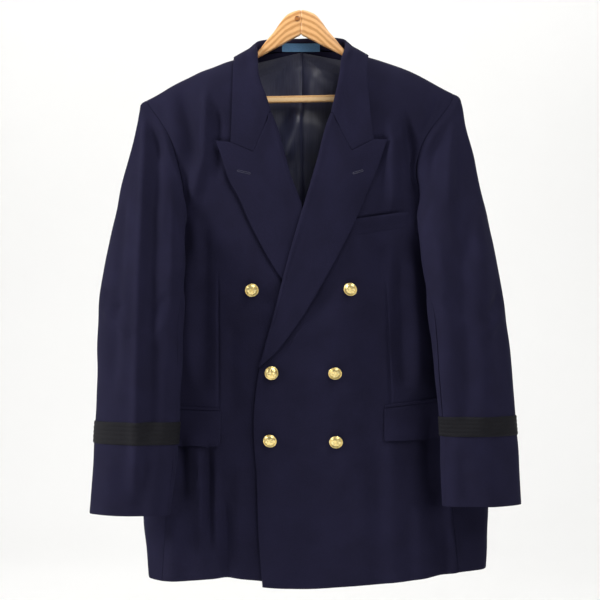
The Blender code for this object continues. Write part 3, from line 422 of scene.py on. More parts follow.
def directions(points):
    """Unit normals of a grid, from its neighbours."""
    normal = np.cross(np.gradient(points, axis=1), np.gradient(points, axis=0))
    return normal / np.linalg.norm(normal, axis=-1, keepdims=True)


def fine_grid(grid, spacing, kinks=(), kink_reach=(0, 0), close_rows=(), close_columns=()):
    """A fine grid through the given one, and how far along, down and from an edge each point lies.

    The kinks are columns where the first and last rows have a corner, which fades out within
    kink_reach rows from there.
    """
    row_knots, column_knots = knots_of(grid), knots_of(grid.transpose(1, 0, 2))
    rows = places_along(row_knots, spacing, close_rows)
    columns = places_along(column_knots, spacing, close_columns)
    finer = curve_through(grid, row_knots, rows).transpose(1, 0, 2)
    finer = [curve_through(finer, column_knots, columns, k).transpose(1, 0, 2) for k in ((), kinks)]
    share = np.zeros(len(rows))
    first, last = kink_reach
    if first:
        share = 1 - smooth(rows / row_knots[first])
    if last:
        share = np.maximum(share, 1 - smooth((rows[-1] - rows) / (row_knots[-1] - row_knots[-1 - last])))
    points = finer[0] + (finer[1] - finer[0]) * share[:, None, None]
    along, down = np.meshgrid(columns, rows)
    edge = np.minimum(np.minimum(down, rows[-1] - down), np.minimum(along, columns[-1] - along))
    return points, np.stack([along, down, edge], axis=-1)


def thing(name, points, faces, finish, grain=None):
    """An object that rides on the part, from points in millimetres."""
    mesh = bpy.data.meshes.new(name)
    mesh.from_pydata((np.asarray(points) * MM).tolist(), [], [tuple(face) for face in faces])
    mesh.validate()
    mesh.update()
    if grain is not None:
        layer = mesh.attributes.new("grain", "FLOAT_VECTOR", "POINT")
        layer.data.foreach_set("vector", np.asarray(grain, np.float32).ravel())
    mesh.shade_smooth()
    mesh.set_sharp_from_angle(angle=CORNER)
    mesh.materials.append(finish)
    made = bpy.data.objects.new(name, mesh)
    bpy.context.scene.collection.objects.link(made)
    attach(made, "root")
    return made


def numbered(rows, columns, first=0, wrap=False):
    """The numbers of the points of a grid. In a wrapped one each row ends where it starts."""
    index = first + np.arange(rows * columns).reshape(rows, columns)
    return np.concatenate([index, index[:, :1]], axis=1) if wrap else index


def quads(index):
    """The faces between the numbered points of a grid."""
    corners = index[:-1, :-1], index[:-1, 1:], index[1:, 1:], index[1:, :-1]
    return np.stack(corners, axis=-1).reshape(-1, 4)


def shell_faces(rows, columns, wrap):
    """The faces of a closed thin shell: two grids of points, the outer one first, and their rims."""
    half = rows * columns
    index = numbered(rows, columns, wrap=wrap)
    outer, inner = quads(index)[:, [0, 3, 2, 1]], quads(index) + half
    edges = [index[0], index[-1, ::-1]]
    if not wrap:
        edges += [index[::-1, 0], index[:, -1]]
    rims = [np.stack([e[:-1], e[1:], e[1:] + half, e[:-1] + half], axis=-1) for e in edges]
    return np.concatenate([outer, inner, *rims])


def shell(name, outer, normals, thickness, grain, finish, wrap=False):
    """A thin closed shell of cloth, with its outer edges pressed round."""
    edge = np.clip(grain[..., 2] / EDGE_STEPS[-1], 0, 1)
    outer = outer - normals * (EDGE_DROP * min(1, thickness / FULL_DROP) * (1 - edge) ** 2)[..., None]
    inner = outer - normals * (thickness - EDGE_THINNER * (1 - edge) ** 2 * min(1, thickness))[..., None]
    faces = shell_faces(*outer.shape[:2], wrap)
    first = np.cross(outer[1, 0] - outer[0, 0], outer[0, 1] - outer[0, 0])
    if np.dot(first, normals[0, 0]) < 0:
        faces = faces[:, ::-1]
    points = np.concatenate([outer.reshape(-1, 3), inner.reshape(-1, 3)])
    marks = np.concatenate([grain.reshape(-1, 3)] * 2)
    return thing(name, points, faces, finish, marks)


# Creases, placed one by one


def table(columns, *rows):
    """Rows of values under named columns."""
    return [dict(zip(columns.split(), row)) for row in rows]


# Each crease runs from one place to another, with its line bowed sideways, and stands out or sinks in
# with soft sides. All sizes are in millimetres.
CREASE = "across down end_across end_down bow width height"
FRONT_CREASES = table(
    CREASE,
    (-139, 92, -160, 284, -9, 8, 7.8),
    (-176, 98, -153, 228, 0, 13, -8.8),
    (-122, 124, -120, 245, 0, 7, -5.1),
    (-206, 124, -172, 250, 9, 8, -5.9),
    (-224, 126, -190, 190, 5, 8, 3.3),
    (-154, 276, -148, 400, 0, 13, 5.6),
    (-164, 330, -160, 540, 3, 10, 4.4),
    (-143, 290, -146, 560, -4, 11, -4.4),
    (-100, 440, -96, 600, 3, 12, -3.3),
    (-177, 596, -173, 726, 0, 10, -11.6),
    (-152, 612, -146, 820, -3, 8, 6.3),
    (-134, 606, -133, 770, 2, 7, -7.6),
    (-123, 640, -122, 800, 2, 6, 4.1),
    (-112, 690, -110, 850, -2, 8, -6.6),
    (-90, 640, -86, 850, 2, 11, 4.1),
    (-183, 716, -188, 850, 0, 13, 6.8),
    (-28, 560, -36, 850, 6, 24, 2.9),
    (22, 640, 28, 850, -5, 26, -3.7),
    (92, 650, 98, 850, 4, 20, 3.7),
    (128, 590, 138, 850, 2, 18, 5.4),
    (188, 582, 194, 722, 2, 14, -12.8),
    (170, 700, 178, 850, 0, 12, 4.4),
    (196, 730, 206, 850, -3, 11, -5.1),
    (216, 630, 230, 850, 3, 9, 3.7),
    (150, 130, 168, 320, -3, 8, -9.3),
    (128, 150, 131, 300, -3, 10, 7.3),
    (204, 105, 176, 180, -5, 8, -4.0),
    (120, 330, 112, 420, 4, 12, -3.3),
    (160, 330, 172, 560, -3, 12, 4.8),
    (141, 330, 150, 560, 3, 10, -4.8),
    (196, 380, 204, 560, 3, 9, -4.4),
    (-180, 430, -186, 570, -3, 9, 3.7),
    (-70, 430, 30, 395, -8, 18, -2.6),
    (-40, 470, 70, 440, 8, 22, 2.2),
    (70, 505, 150, 470, 8, 18, -2.2),
    (-112, 470, -50, 440, 6, 14, -2.2),
)
RIGHT_SLEEVE_CREASES = table(
    CREASE,
    (-228, 128, -236, 700, -3, 8, 7.0),
    (-208, 126, -213, 620, 2, 14, -8.2),
    (-186, 250, -184, 520, -1, 6, 2.4),
    (-258, 240, -272, 560, -4, 9, -4.4),
    (-222, 126, -206, 215, 4, 6, -3.2),
    (-284, 396, -256, 432, 4, 8, -3.9),
    (-282, 424, -236, 466, 5, 9, 3.6),
    (-186, 402, -220, 436, -4, 8, -2.0),
    (-188, 436, -226, 476, -5, 10, 1.8),
    (-268, 630, -274, 730, 3, 13, 3.2),
    (-222, 630, -226, 730, 3, 13, -3.6),
)
LEFT_SLEEVE_CREASES = table(
    CREASE,
    (226, 130, 212, 290, 4, 8, 5.6),
    (240, 170, 234, 380, 2, 14, -8.0),
    (206, 150, 186, 260, 4, 7, -3.3),
    (192, 300, 205, 600, -4, 11, 4.4),
    (222, 330, 232, 620, -5, 13, -5.0),
    (256, 260, 268, 620, 4, 13, 3.4),
    (282, 350, 292, 600, 3, 12, -2.2),
    (290, 396, 262, 438, -4, 8, -3.7),
    (292, 428, 256, 466, -5, 9, 3.3),
    (200, 404, 232, 444, 4, 8, -2.2),
    (266, 615, 274, 720, -3, 15, 3.3),
    (232, 615, 238, 720, 3, 13, -3.3),
)
BACK_CREASES = table(
    CREASE,
    (-150, 120, -140, 330, -5, 13, 5.0),
    (-110, 150, -104, 400, 4, 18, -4.1),
    (152, 120, 138, 310, 5, 13, 4.7),
    (112, 150, 106, 380, -4, 18, -3.7),
    (-200, 140, -170, 220, 4, 8, -3.7),
    (200, 140, 170, 215, -4, 8, -3.4),
    (-160, 380, -172, 850, 5, 19, 5.4),
    (-118, 420, -124, 850, -5, 18, -5.0),
    (-60, 480, -66, 850, 4, 24, 4.1),
    (40, 460, 44, 850, -4, 24, -4.1),
    (98, 430, 108, 850, 4, 19, 4.7),
    (160, 400, 180, 850, 4, 19, -5.4),
    (-70, 290, 60, 310, 10, 14, 2.6),
    (-60, 330, 84, 342, 10, 16, -2.6),
)
BACK_SLEEVE_CREASES = table(
    CREASE,
    (-250, 190, -264, 560, -4, 11, 4.2),
    (-216, 240, -222, 580, 4, 11, -4.5),
    (248, 190, 268, 560, 4, 11, 3.9),
    (218, 240, 228, 580, -4, 11, -4.5),
    (-284, 418, -236, 450, 6, 9, -3.1),
    (-280, 450, -240, 486, 6, 9, 2.5),
    (290, 420, 244, 455, -6, 9, -3.1),
    (286, 455, 246, 490, -6, 9, 2.5),
)
# The lining sinks inward in soft slanting folds.
LINING_CREASES = table(
    CREASE,
    (-2, 124, -32, 214, -4, 13, -9.5),
    (-34, 150, -52, 260, 4, 9, 3.0),
    (22, 66, 12, 130, 4, 9, -2.2),
    (46, 80, 40, 200, -4, 11, -2.6),
    (26, 132, 18, 214, 4, 17, -3.2),
    (-20, 250, -60, 560, -8, 18, -3.4),
    (60, 260, 80, 560, 8, 18, -3.4),
)
# Cloth is never quite even: slow waves, each with its length across and down, its height and its shift.
WAVES = table(
    "wide tall height shift",
    (88, 240, 0.45, 0.4),
    (61, 150, 0.28, 1.9),
    (143, 96, 0.3, 3.3),
    (37, 71, 0.12, 5.1),
)
# Each has a lower one across it: its height, how often it comes across and down, and its shift, each
# as a multiple of the first one's.
CROSS_HEIGHT, CROSS_WIDE, CROSS_TALL, CROSS_SHIFT = 0.6, 0.7, 1.3, 2.2
# The darts in the fronts and the mouth of the breast pocket: narrow grooves.
DARTS = table(
    CREASE,
    (-120, 366, -120, 585, 0, 1.8, -1.9),
    (121.4, 362, 131, 580, 0, 1.8, -1.9),
    (64, 299.5, 150, 286.2, 0, 2.0, -2.4),
)
# How far beside a dart the lines are close, and between which levels they are for the welt.
DART_REACH = 13.0
WELT_TOP, WELT_FOOT = 276.0, 308.0
# A crease grows from nothing over this length at each end, or over this share of its own if less.
FADE, FADE_SHARE = 52.0, 0.3
# It widens along its length, from this share of its width by this much, and runs on a little past its
# end. It stands out less where the cloth turns sideways, by how much the cloth still faces its way.
NARROW, WIDENING, RUN_ON, FACING = 0.75, 0.5, 0.15, 1.6


def relief_of(points, normals, rows, way):
    """How far creases push the cloth out, on the face that looks this way along Y."""
    across, down = points[..., 0] - CENTRE, -points[..., 2]
    relief = np.zeros(across.shape)
    for row in rows:
        run = np.array([row["end_across"] - row["across"], row["end_down"] - row["down"]], float)
        length = np.linalg.norm(run)
        run /= length
        along = ((across - row["across"]) * run[0] + (down - row["down"]) * run[1]) / length
        aside = (across - row["across"]) * -run[1] + (down - row["down"]) * run[0]
        inside = np.clip(along, 0, 1)
        aside = aside - row["bow"] * 4 * inside * (1 - inside)
        width = row["width"] * (NARROW + WIDENING * inside)
        reach = min(FADE_SHARE, FADE / length)
        fade = smooth(along / reach) * smooth((1 + RUN_ON * reach - along) / reach)
        relief += row["height"] * fade * np.exp(-((aside / width) ** 2))
    return relief * np.clip(FACING * way * normals[..., 1], 0, 1)


def wave_relief(points):
    """How far the slow waves lift the cloth."""
    across, down = points[..., 0], points[..., 2]
    relief = np.zeros(across.shape)
    for wave in WAVES:
        wide, tall, height, shift = wave.values()
        relief += height * np.sin(2 * math.pi * (across / wide + down / tall) + shift)
        turns = CROSS_WIDE * across / wide - CROSS_TALL * down / tall
        relief += CROSS_HEIGHT * height * np.sin(2 * math.pi * turns + CROSS_SHIFT * shift)
    return relief


# Which way along Y the outer face of a nearly flat piece looks.
LOOKS = {"front": -1, "lapel": -1, "back": 1, "back_lining": 1, "neck": -1}


def outward(points, normals, kind):
    """The normals turned to the outside of their piece."""
    if kind in LOOKS:
        return normals * np.sign(normals[..., 1].sum() * LOOKS[kind])
    way = points - (points[:, :1] + points[:, -1:]) / 2
    return normals * np.sign((normals[:, 1:-1] * way[:, 1:-1]).sum())


# Each kind of cloth piece: its thickness, how fine its shell is, and its cut's flat size and area in metres.
CUTS = {
    "front": (1.6, 3.0, (0.29, 0.83), 0.178),
    "side": (1.6, 3.2, (0.15, 0.52), 0.060),
    "back": (1.6, 3.4, (0.24, 0.78), 0.160),
    "top_sleeve": (1.6, 3.0, (0.35, 0.61), 0.120),
    "under_sleeve": (1.6, 3.4, (0.20, 0.54), 0.0485),
    "lapel": (1.8, 2.2, (0.125, 0.38), 0.0214),
    "back_lining": (0.8, 3.4, (0.205, 0.765), 0.135),
    "collar": (1.4, 2.2, (0.56, 0.105), 0.0284),
    "neck": (0.6, 1.5, (0.057, 0.0124), 0.0007),
    "sleeve_braid": (1.5, 2.4, (0.29, 0.03), 0.0085),
    "pocket_flap": (2.2, 2.2, (0.11, 0.05), 0.0053),
    "pocket_jetting": (1.5, 1.5, (0.11, 0.0102), 0.0006),
    "breast_welt": (2.0, 1.8, (0.087, 0.023), 0.0019),
}
# The roll of a sleeve over its own seam allowance: how far below the head seam, how wide, how high.
SLEEVE_HEAD = (9.0, 5.0, 1.8)
# Creases and waves end this far from a piece's edge, or from a sleeve's head, because seams hold the
# cloth flat. Below a level, over the fade, its edges hang free of that.
CALM_EDGE, CALM_HEAD = 14.0, 22.0
FREE_BELOW, FREE_FADE = 300.0, 60.0
# The lining's right half laps over its left half at the centre seam: by how much, over what width and
# how far it is lifted there.
LAP, LAP_WIDTH, LAP_LIFT = 2.0, 7.0, 1.28
# The stitches draw the lining in along that seam.
SEAM_DEPTH, SEAM_WIDTH = 2.6, 2.4
# It starts off the back by its gap. Down from the neck, over the fade, it comes further off by its ease,
# so that its folds stay inside the wool, and between the shoulder blades also by its sway.
LINING_GAP, LINING_EASE, LINING_SWAY, EASE_FADE = 0.7, 4.2, 9.5, 190.0
# How far from the coat's middle the sway is full, and over what width it ends.
SWAY_HALF, SWAY_EDGE = 80.0, 80.0


def kind_of(node):
    """The kind of piece: its name without its side."""
    return node if node in CUTS else node.rsplit("_", 1)[0]


def side_of(node):
    """The side that a piece is on."""
    return "right" if node.endswith("right") else "left"


def declare(node):
    """Hide the solid of the piece, which its fine shell stands in for."""
    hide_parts(node)


def dart_runs(grid):
    """Where the lines of a front's grid have to be close: its columns at the dart, its rows at the welt."""
    row_knots, column_knots = knots_of(grid), knots_of(grid.transpose(1, 0, 2))
    across, down = grid[..., 0] - CENTRE, -grid[..., 2]
    side = RIGHT if across.mean() < 0 else LEFT
    dart = DARTS[0] if side == RIGHT else DARTS[1]
    columns = []
    for share in (0.0, 0.5, 1.0):
        level = dart["down"] + share * (dart["end_down"] - dart["down"])
        row = int(np.argmin(np.abs(down.mean(axis=1) - level)))
        order = np.argsort(across[row])
        columns.append(np.interp(dart["across"], across[row][order], column_knots[order]))
    rows = []
    if side == LEFT:
        middle = down[:, 2:7].mean(axis=1)
        rows = [(np.interp(WELT_TOP, middle, row_knots), np.interp(WELT_FOOT, middle, row_knots))]
    return rows, [(min(columns) - DART_REACH, max(columns) + DART_REACH)]


# Below the armhole the front of each sleeve hangs straight down, nearer the body than its solid: by
# how much, at which level, over what height and how far across from where it begins. It starts this
# far ahead of the hanger and is full at the second depth.
HANG = {"right": (17.0, 368.0, 42.0, 72.0), "left": (22.0, 370.0, 38.0, 66.0)}
HANG_INNER, HANG_DEPTH = 172.0, (46.0, 66.0)


def hung_straight(points, node):
    """The points of a sleeve, moved towards the body there."""
    side = side_of(node)
    shift, level, tall, wide = HANG[side]
    across, down = np.abs(points[..., 0] - CENTRE), -points[..., 2]
    near = 1 - smooth((across - HANG_INNER) / wide)
    ahead = smooth((-points[..., 1] - HANG_DEPTH[0]) / (HANG_DEPTH[1] - HANG_DEPTH[0]))
    move = shift * near * ahead * np.exp(-(((down - level) / tall) ** 2))
    points = points.copy()
    points[..., 0] -= SIDES[side] * move
    return points


# Places where the cloth lies further out to its side than in the solids: the corners of the padded
# shoulders, and the foot of the left armhole.
EASES = table(
    "side across down move wide tall",
    ("right", 229, 127, 7.5, 17, 27),
    ("left", 229, 125, 6.5, 17, 27),
    ("left", 160, 269, 13.5, 27, 34),
)


def eased(points):
    """The points, moved out to the side at those places."""
    points = points.copy()
    for row in EASES:
        side = SIDES[row["side"]]
        across, down = side * (points[..., 0] - CENTRE), -points[..., 2]
        away = ((across - row["across"]) / row["wide"]) ** 2 + ((down - row["down"]) / row["tall"]) ** 2
        points[..., 0] += side * row["move"] * np.exp(-away) * (across > 0)
    return points


# A seam's allowance: how far it reaches under the next panel, and its gap to that panel's inside.
ALLOWANCE, HEAD_ALLOWANCE, ALLOWANCE_GAP = 5.0, 2.6, 0.5
# How far it is flat before it turns in, and how much it turns in, as a share of its reach.
ALLOWANCE_FLAT, TURN_IN = 0.2, 0.25


def with_allowance(sheet, thickness, reach):
    """A sheet, given with its first row at a seam, with the allowance that lies under the next panel."""
    points, normals, grain = sheet
    out = points[0] - points[3]
    out /= np.linalg.norm(out, axis=-1, keepdims=True)
    under = points[0] - normals[0] * (thickness + ALLOWANCE_GAP)
    turned_in = under + reach * out - TURN_IN * reach * normals[0]
    points = np.concatenate([[turned_in, under + ALLOWANCE_FLAT * out], points])
    normals, grain = (np.concatenate([part[:1], part[:1], part]) for part in (normals, grain))
    return points, normals, grain


def with_allowances(kind, sheet, thickness):
    """A side panel has allowances along both its seams, and a sleeve has one round its head."""
    if kind == "side":
        for _ in range(2):
            across = [part.swapaxes(0, 1) for part in sheet]
            sheet = [part.swapaxes(0, 1)[:, ::-1] for part in with_allowance(across, thickness, ALLOWANCE)]
    if "sleeve" in kind:
        sheet = with_allowance(sheet, thickness, HEAD_ALLOWANCE)
    return sheet


# The furrow along a lapel's free edge: how deep it sinks and how wide it is, and how closely the edge
# is followed.
FURROW_DEPTH, FURROW_WIDTH, OUTLINE_SPACING = 2.6, 4.5, 4.0
# Each kind of piece that lies flat on the coat: its slot, the columns where its ends have corners, how
# many rows from either end those reach, and its share of the slow waves.
FLAT_PIECES = {
    "lapel": ("navy_wool", (6, 8), (5, 0), 0.35),
    "collar": ("navy_wool", (2,), (3, 3), 0.0),
    "neck": ("label_cloth", (), (0, 0), 0.0),
}


def furrow(points, node):
    """How far the front sinks along the edge of the lapel that lies on it."""
    _, kinks, kink_reach, _ = FLAT_PIECES["lapel"]
    grid = cloth_grid("lapel_" + side_of(node), CUTS["lapel"][0], LOOKS["lapel"])
    outline = fine_grid(grid, OUTLINE_SPACING, kinks, kink_reach)[0]
    border = np.concatenate([outline[0], outline[-1], outline[:, 0], outline[:, -1]])[:, (0, 2)]
    flat = points[..., (0, 2)].reshape(-1, 1, 2)
    away = np.linalg.norm(flat - border[None], axis=-1).min(axis=1).reshape(points.shape[:2])
    return FURROW_DEPTH * np.exp(-((away / FURROW_WIDTH) ** 2))


def panel(node, finish, body_rows, back_rows):
    """The fine shell of a panel of the body, the lining or a sleeve, with its creases."""
    kind = kind_of(node)
    thickness, spacing = CUTS[kind][:2]
    grid = cloth_grid(node, thickness, LOOKS.get(kind))
    close_rows, close_columns = dart_runs(grid) if kind == "front" else ((), ())
    points, grain = fine_grid(grid, spacing, close_rows=close_rows, close_columns=close_columns)
    if "sleeve" in kind:
        points = hung_straight(points, node)
    if kind != "back_lining":
        points = eased(points)
    normals = outward(points, directions(points), kind)
    relief = relief_of(points, normals, body_rows, -1) + relief_of(points, normals, back_rows, 1)
    relief += wave_relief(points)
    if "sleeve" in kind:
        relief *= smooth(grain[..., 1] / CALM_HEAD)
        middle, width, height = SLEEVE_HEAD
        relief += height * np.exp(-(((grain[..., 1] - middle) / width) ** 2))
    else:
        free = smooth((-points[..., 2] - FREE_BELOW) / FREE_FADE)
        relief *= np.maximum(smooth(grain[..., 2] / CALM_EDGE), free)
    if kind == "front":
        relief += relief_of(points, normals, DARTS, -1) - furrow(points, node)
    if kind == "back_lining":
        relief += relief_of(points, normals, LINING_CREASES, 1)
        relief += SEAM_DEPTH * np.exp(-(((points[..., 0] - CENTRE) / SEAM_WIDTH) ** 2))
        sway = LINING_SWAY * (1 - smooth((np.abs(points[..., 0] - CENTRE) - SWAY_HALF) / SWAY_EDGE))
        relief -= LINING_GAP + (LINING_EASE + sway) * smooth(grain[..., 1] / EASE_FADE)
    points = points + normals * relief[..., None]
    if node == "back_lining_right":
        lap = 1 - smooth(np.abs(points[..., 0] - CENTRE) / LAP_WIDTH)
        points[..., 0] += LAP * lap
        points[..., 1] -= LAP_LIFT * lap
    outer, out, place = with_allowances(kind, (points, normals, grain), thickness)
    made = shell(node + "_cloth", outer, out, thickness, place, finish)
    declare(node)
    return points


def flat_piece(node, finish):
    """A lapel, the collar or the label: a fine shell without creases of its own."""
    kind = kind_of(node)
    thickness, spacing = CUTS[kind][:2]
    slot, kinks, kink_reach, waviness = FLAT_PIECES[kind]
    grid = cloth_grid(node, thickness, LOOKS.get(kind), long_rows=kind == "collar")
    points, grain = fine_grid(grid, spacing, kinks, kink_reach)
    normals = outward(points, directions(points), kind)
    relief = waviness * wave_relief(points) * smooth(grain[..., 2] / CALM_EDGE)
    points = points + normals * relief[..., None]
    made = shell(node + "_cloth", points, normals, thickness, grain, finish)
    declare(node)
    return points


# Pieces laid on the fronts


# Rays start this far in front of the hanger and reach this far.
RAY_START, RAY_REACH = -200.0, 300.0
BACKWARD = (0, 1, 0)


def surface(grids):
    """The outer faces of some panels, to lay other pieces on."""
    points, faces = [], []
    for grid in grids:
        faces += quads(numbered(*grid.shape[:2], first=len(points))).tolist()
        points += grid.reshape(-1, 3).tolist()
    return BVHTree.FromPolygons(points, faces)


def softened(values, rounds, wrap=False):
    """Values on a grid with their small steps smoothed out."""
    for _ in range(rounds):
        for axis in (0, 1):
            lines = values if axis == 0 else values.T
            first, last = 2 * lines[0] - lines[1], 2 * lines[-1] - lines[-2]
            if wrap and axis == 1:
                first, last = lines[-1], lines[0]
            full = np.concatenate([[first], lines, [last]])
            lines = (full[:-2] + 2 * lines + full[2:]) / 4
            values = lines if axis == 0 else lines.T
    return values


def met(tree, starts, ways, reach):
    """How far from each start the surface lies on its way, and the mean of the others where it is missed."""
    far = np.full(starts.shape[:2], np.nan)
    for at in np.ndindex(far.shape):
        distance = tree.ray_cast(starts[at].tolist(), ways[at].tolist(), reach)[3]
        if distance is not None:
            far[at] = distance
    for _ in range(20):
        gaps = np.isnan(far)
        if not gaps.any():
            break
        shifted = [np.roll(far, step, axis=axis) for step in (1, -1) for axis in (0, 1)]
        near = [np.where(np.isnan(one), 0, one) for one in shifted]
        count = sum(~np.isnan(one) for one in shifted)
        far[gaps & (count > 0)] = (sum(near) / np.maximum(count, 1))[gaps & (count > 0)]
    return far


# Flat pieces on the fronts, by their corners: across, top and bottom at the inner and outer ends, the
# radius of the lower corners, and how far the lower edge springs off the front.
PATCHES = table(
    "node inner outer corner spring",
    ("pocket_jetting_left", (121, 566.5, 571.6), (231, 553.7, 558.8), 0, 0),
    ("pocket_flap_left", (120.5, 572.2, 621), (229, 559.7, 613), 7, 1.4),
    ("pocket_jetting_right", (-118.6, 571, 575.8), (-216, 569, 573.6), 0, 0),
    ("pocket_flap_right", (-116.5, 576.3, 628), (-213, 574.3, 626), 7, 1.4),
    ("breast_welt", (70, 300.4, 322.5), (154.8, 287.4, 309.2), 0, 0),
)
# Their gap to the front, and the flaps' share of the slow waves.
PATCH_GAP, FLAP_WAVINESS = 0.45, 0.4
# The share of a flap's length over which its lower corners are rounded.
CORNER_SHARE = 0.2
# The welt's lower edge is sewn in, so it lies nearly level with the front, from this share of its
# height on.
WELT_SEWN, WELT_LEVEL = 1.9, 1 / 1.1


def patch(row, fronts, wool):
    """A flat piece that follows the front under it."""
    node, inner, outer, corner, spring = row.values()
    thickness, spacing = CUTS[kind_of(node)][:2]
    length = abs(outer[0] - inner[0])
    height = (inner[2] - inner[1] + outer[2] - outer[1]) / 2
    along = places_along(np.array([0.0, length]), spacing)
    below = places_along(np.array([0.0, height]), spacing)
    share, fall = np.meshgrid(along / length, below / height)
    if corner:
        into = np.clip(below - (height - corner), 0, corner)
        inset = (corner - np.sqrt(corner**2 - into**2)) / length
        share = share + inset[:, None] * np.clip(1 - share / CORNER_SHARE, 0, 1)
        share = share - inset[:, None] * np.clip(1 - (1 - share) / CORNER_SHARE, 0, 1)
    across = inner[0] + (outer[0] - inner[0]) * share
    top, bottom = inner[1] + (outer[1] - inner[1]) * share, inner[2] + (outer[2] - inner[2]) * share
    down = top + (bottom - top) * fall
    starts = np.stack([across + CENTRE, np.full(across.shape, RAY_START), -down], axis=-1)
    ways = np.broadcast_to(np.array(BACKWARD, float), starts.shape)
    out = softened(met(fronts, starts, ways, RAY_REACH), 6)
    points = starts + ways * out[..., None]
    normals = outward(points, directions(points), "front")
    edge = np.minimum(np.minimum(below, height - below)[:, None], np.minimum(along, length - along)[None, :])
    grain = np.stack([length * share, height * fall, edge], axis=-1)
    lift = PATCH_GAP + thickness + spring * smooth(fall)
    if corner:
        lift = lift + FLAP_WAVINESS * wave_relief(points)
    if node == "breast_welt":
        lift = lift - WELT_SEWN * smooth(fall / WELT_LEVEL)
    points = points + normals * lift[..., None]
    made = shell(node + "_cloth", points, normals, thickness, grain, wool)
    declare(node)


BRAID_RIBS, RIB_HEIGHT, RIB_FULLNESS = 5, 0.65, 0.6
# Its back clears the sleeve by this under the ribs. Between them the stitches sink it in.
BRAID_GAP = 0.15
# How far off the solid's band the rays to the sleeve start, and how far they reach.
BRAID_OUT, BRAID_REACH = 8.0, 24.0


def braid(side, sleeves, finish):
    """A ribbed band round the lower sleeve, laid on the sleeve's own creases."""
    node = "sleeve_braid_" + side
    thickness, spacing = CUTS["sleeve_braid"][:2]
    rings = ring_grid(node, thickness)
    rings = np.concatenate([rings[:, -3:], rings, rings[:, :4]], axis=1)
    knots = knots_of(rings.transpose(1, 0, 2))
    around = np.linspace(knots[3], knots[-4], round((knots[-4] - knots[3]) / spacing), endpoint=False)
    rings = curve_through(rings.transpose(1, 0, 2), knots, around).transpose(1, 0, 2)
    height = np.linalg.norm(rings[1] - rings[0], axis=-1).mean()
    below = places_along(np.array([0.0, height]), 1.0)
    share = (below / height)[:, None, None]
    points = rings[0] * (1 - share) + rings[1] * share
    step = np.roll(points, -1, axis=1) - np.roll(points, 1, axis=1)
    normals = np.cross(step, np.broadcast_to(rings[1] - rings[0], points.shape))
    normals /= np.linalg.norm(normals, axis=-1, keepdims=True)
    middle = points.mean(axis=1, keepdims=True)
    normals *= np.sign((normals * (points - middle)).sum())
    starts = points + normals * BRAID_OUT
    out = softened(BRAID_OUT - met(sleeves, starts, -normals, BRAID_REACH), 3, wrap=True)
    rib = RIB_HEIGHT * np.abs(np.sin(math.pi * BRAID_RIBS * below / height)) ** RIB_FULLNESS
    lift = out + BRAID_GAP + thickness + rib[:, None] - RIB_HEIGHT
    along = np.broadcast_to(around - around[0], points.shape[:2])
    down = np.broadcast_to(below[:, None], points.shape[:2])
    grain = np.stack([along, down, np.minimum(down, height - down)], axis=-1)
    points = points + normals * lift[..., None]
    made = shell(node + "_cloth", points, normals, thickness, grain, finish, wrap=True)
    declare(node)


# Buttons, buttonholes, hanger and peg

# Each button droops on its shank, by these degrees, until its rim touches the cloth.
BUTTONS = table(
    "number across down tilt_across tilt_down",
    (1, -70.8, 400.8, 6, 17),
    (2, 70.1, 399.6, -19, 21),
    (3, -42.6, 520.2, 0, 2),
    (4, 48.7, 521.1, -3, 29),
    (5, -44.2, 618.2, 3, 16),
    (6, 50.4, 620.3, -3, 26),
)
# A button's outline, from the middle of its back, and how deep the pattern struck there is.
BUTTON_OUTLINE = table(
    "radius height struck",
    (0, 0.4, 0),
    (2.4, 0.4, 0),
    (2.6, 1.0, 0),
    (2.6, 2.5, 0),
    (5.0, 2.6, 0),
    (9.0, 2.8, 0),
    (9.7, 3.2, 0),
    (10.0, 3.9, 0.15),
    (9.9, 4.6, 0.22),
    (9.5, 5.1, 0.22),
    (9.0, 5.2, 0.15),
    (8.7, 4.9, 0),
    (8.4, 4.9, 0),
    (7.9, 5.6, 0),
    (7.0, 6.3, 0),
    (6.0, 6.9, 0.06),
    (5.0, 7.4, 0.18),
    (4.0, 7.7, 0.24),
    (3.0, 7.9, 0.22),
    (2.0, 8.0, 0.14),
    (1.0, 8.05, 0.1),
    (0, 8.1, 0),
)
BUTTON_RADIUS, RIM_HEIGHT, SHANK = 10.0, 2.8, 4.6
BUTTON_SIDES, ROPE_TURNS, PETALS = 96, 32, 8
# Outside this radius the pattern is the rope, and within it the petals. Both slant: their phase moves
# by this many radians for each millimetre outwards.
ROPE_RADIUS, PATTERN_SLANT = 8.8, 0.5


def turned(name, outline, sides, spot, axis, finish, struck=None):
    """A round piece about an axis. Its outline runs from the middle of its back to that of its face."""
    axis = np.asarray(axis, float) / np.linalg.norm(axis)
    first = np.cross(axis, (0, 0, 1))
    first /= np.linalg.norm(first)
    second = np.cross(axis, first)
    angles = np.arange(sides) * 2 * math.pi / sides
    rim = np.cos(angles)[:, None] * first + np.sin(angles)[:, None] * second
    points = [spot + axis * outline[0][1]]
    for i, (radius, height) in enumerate(outline[1:-1], start=1):
        extra = np.zeros(sides) if struck is None else struck(i, angles)
        points += list(spot + axis * (height + extra)[:, None] + radius * rim)
    points.append(spot + axis * outline[-1][1])
    last = len(points) - 1
    index = numbered(len(outline) - 2, sides, first=1, wrap=True)
    faces = quads(index).tolist()
    for i in range(sides):
        faces.append((0, index[0, i + 1], index[0, i]))
        faces.append((last, index[-1, i], index[-1, i + 1]))
    grain = (np.array(points) - spot) @ np.stack([first, second, axis], axis=1)
    return thing(name, points, faces, finish, grain)


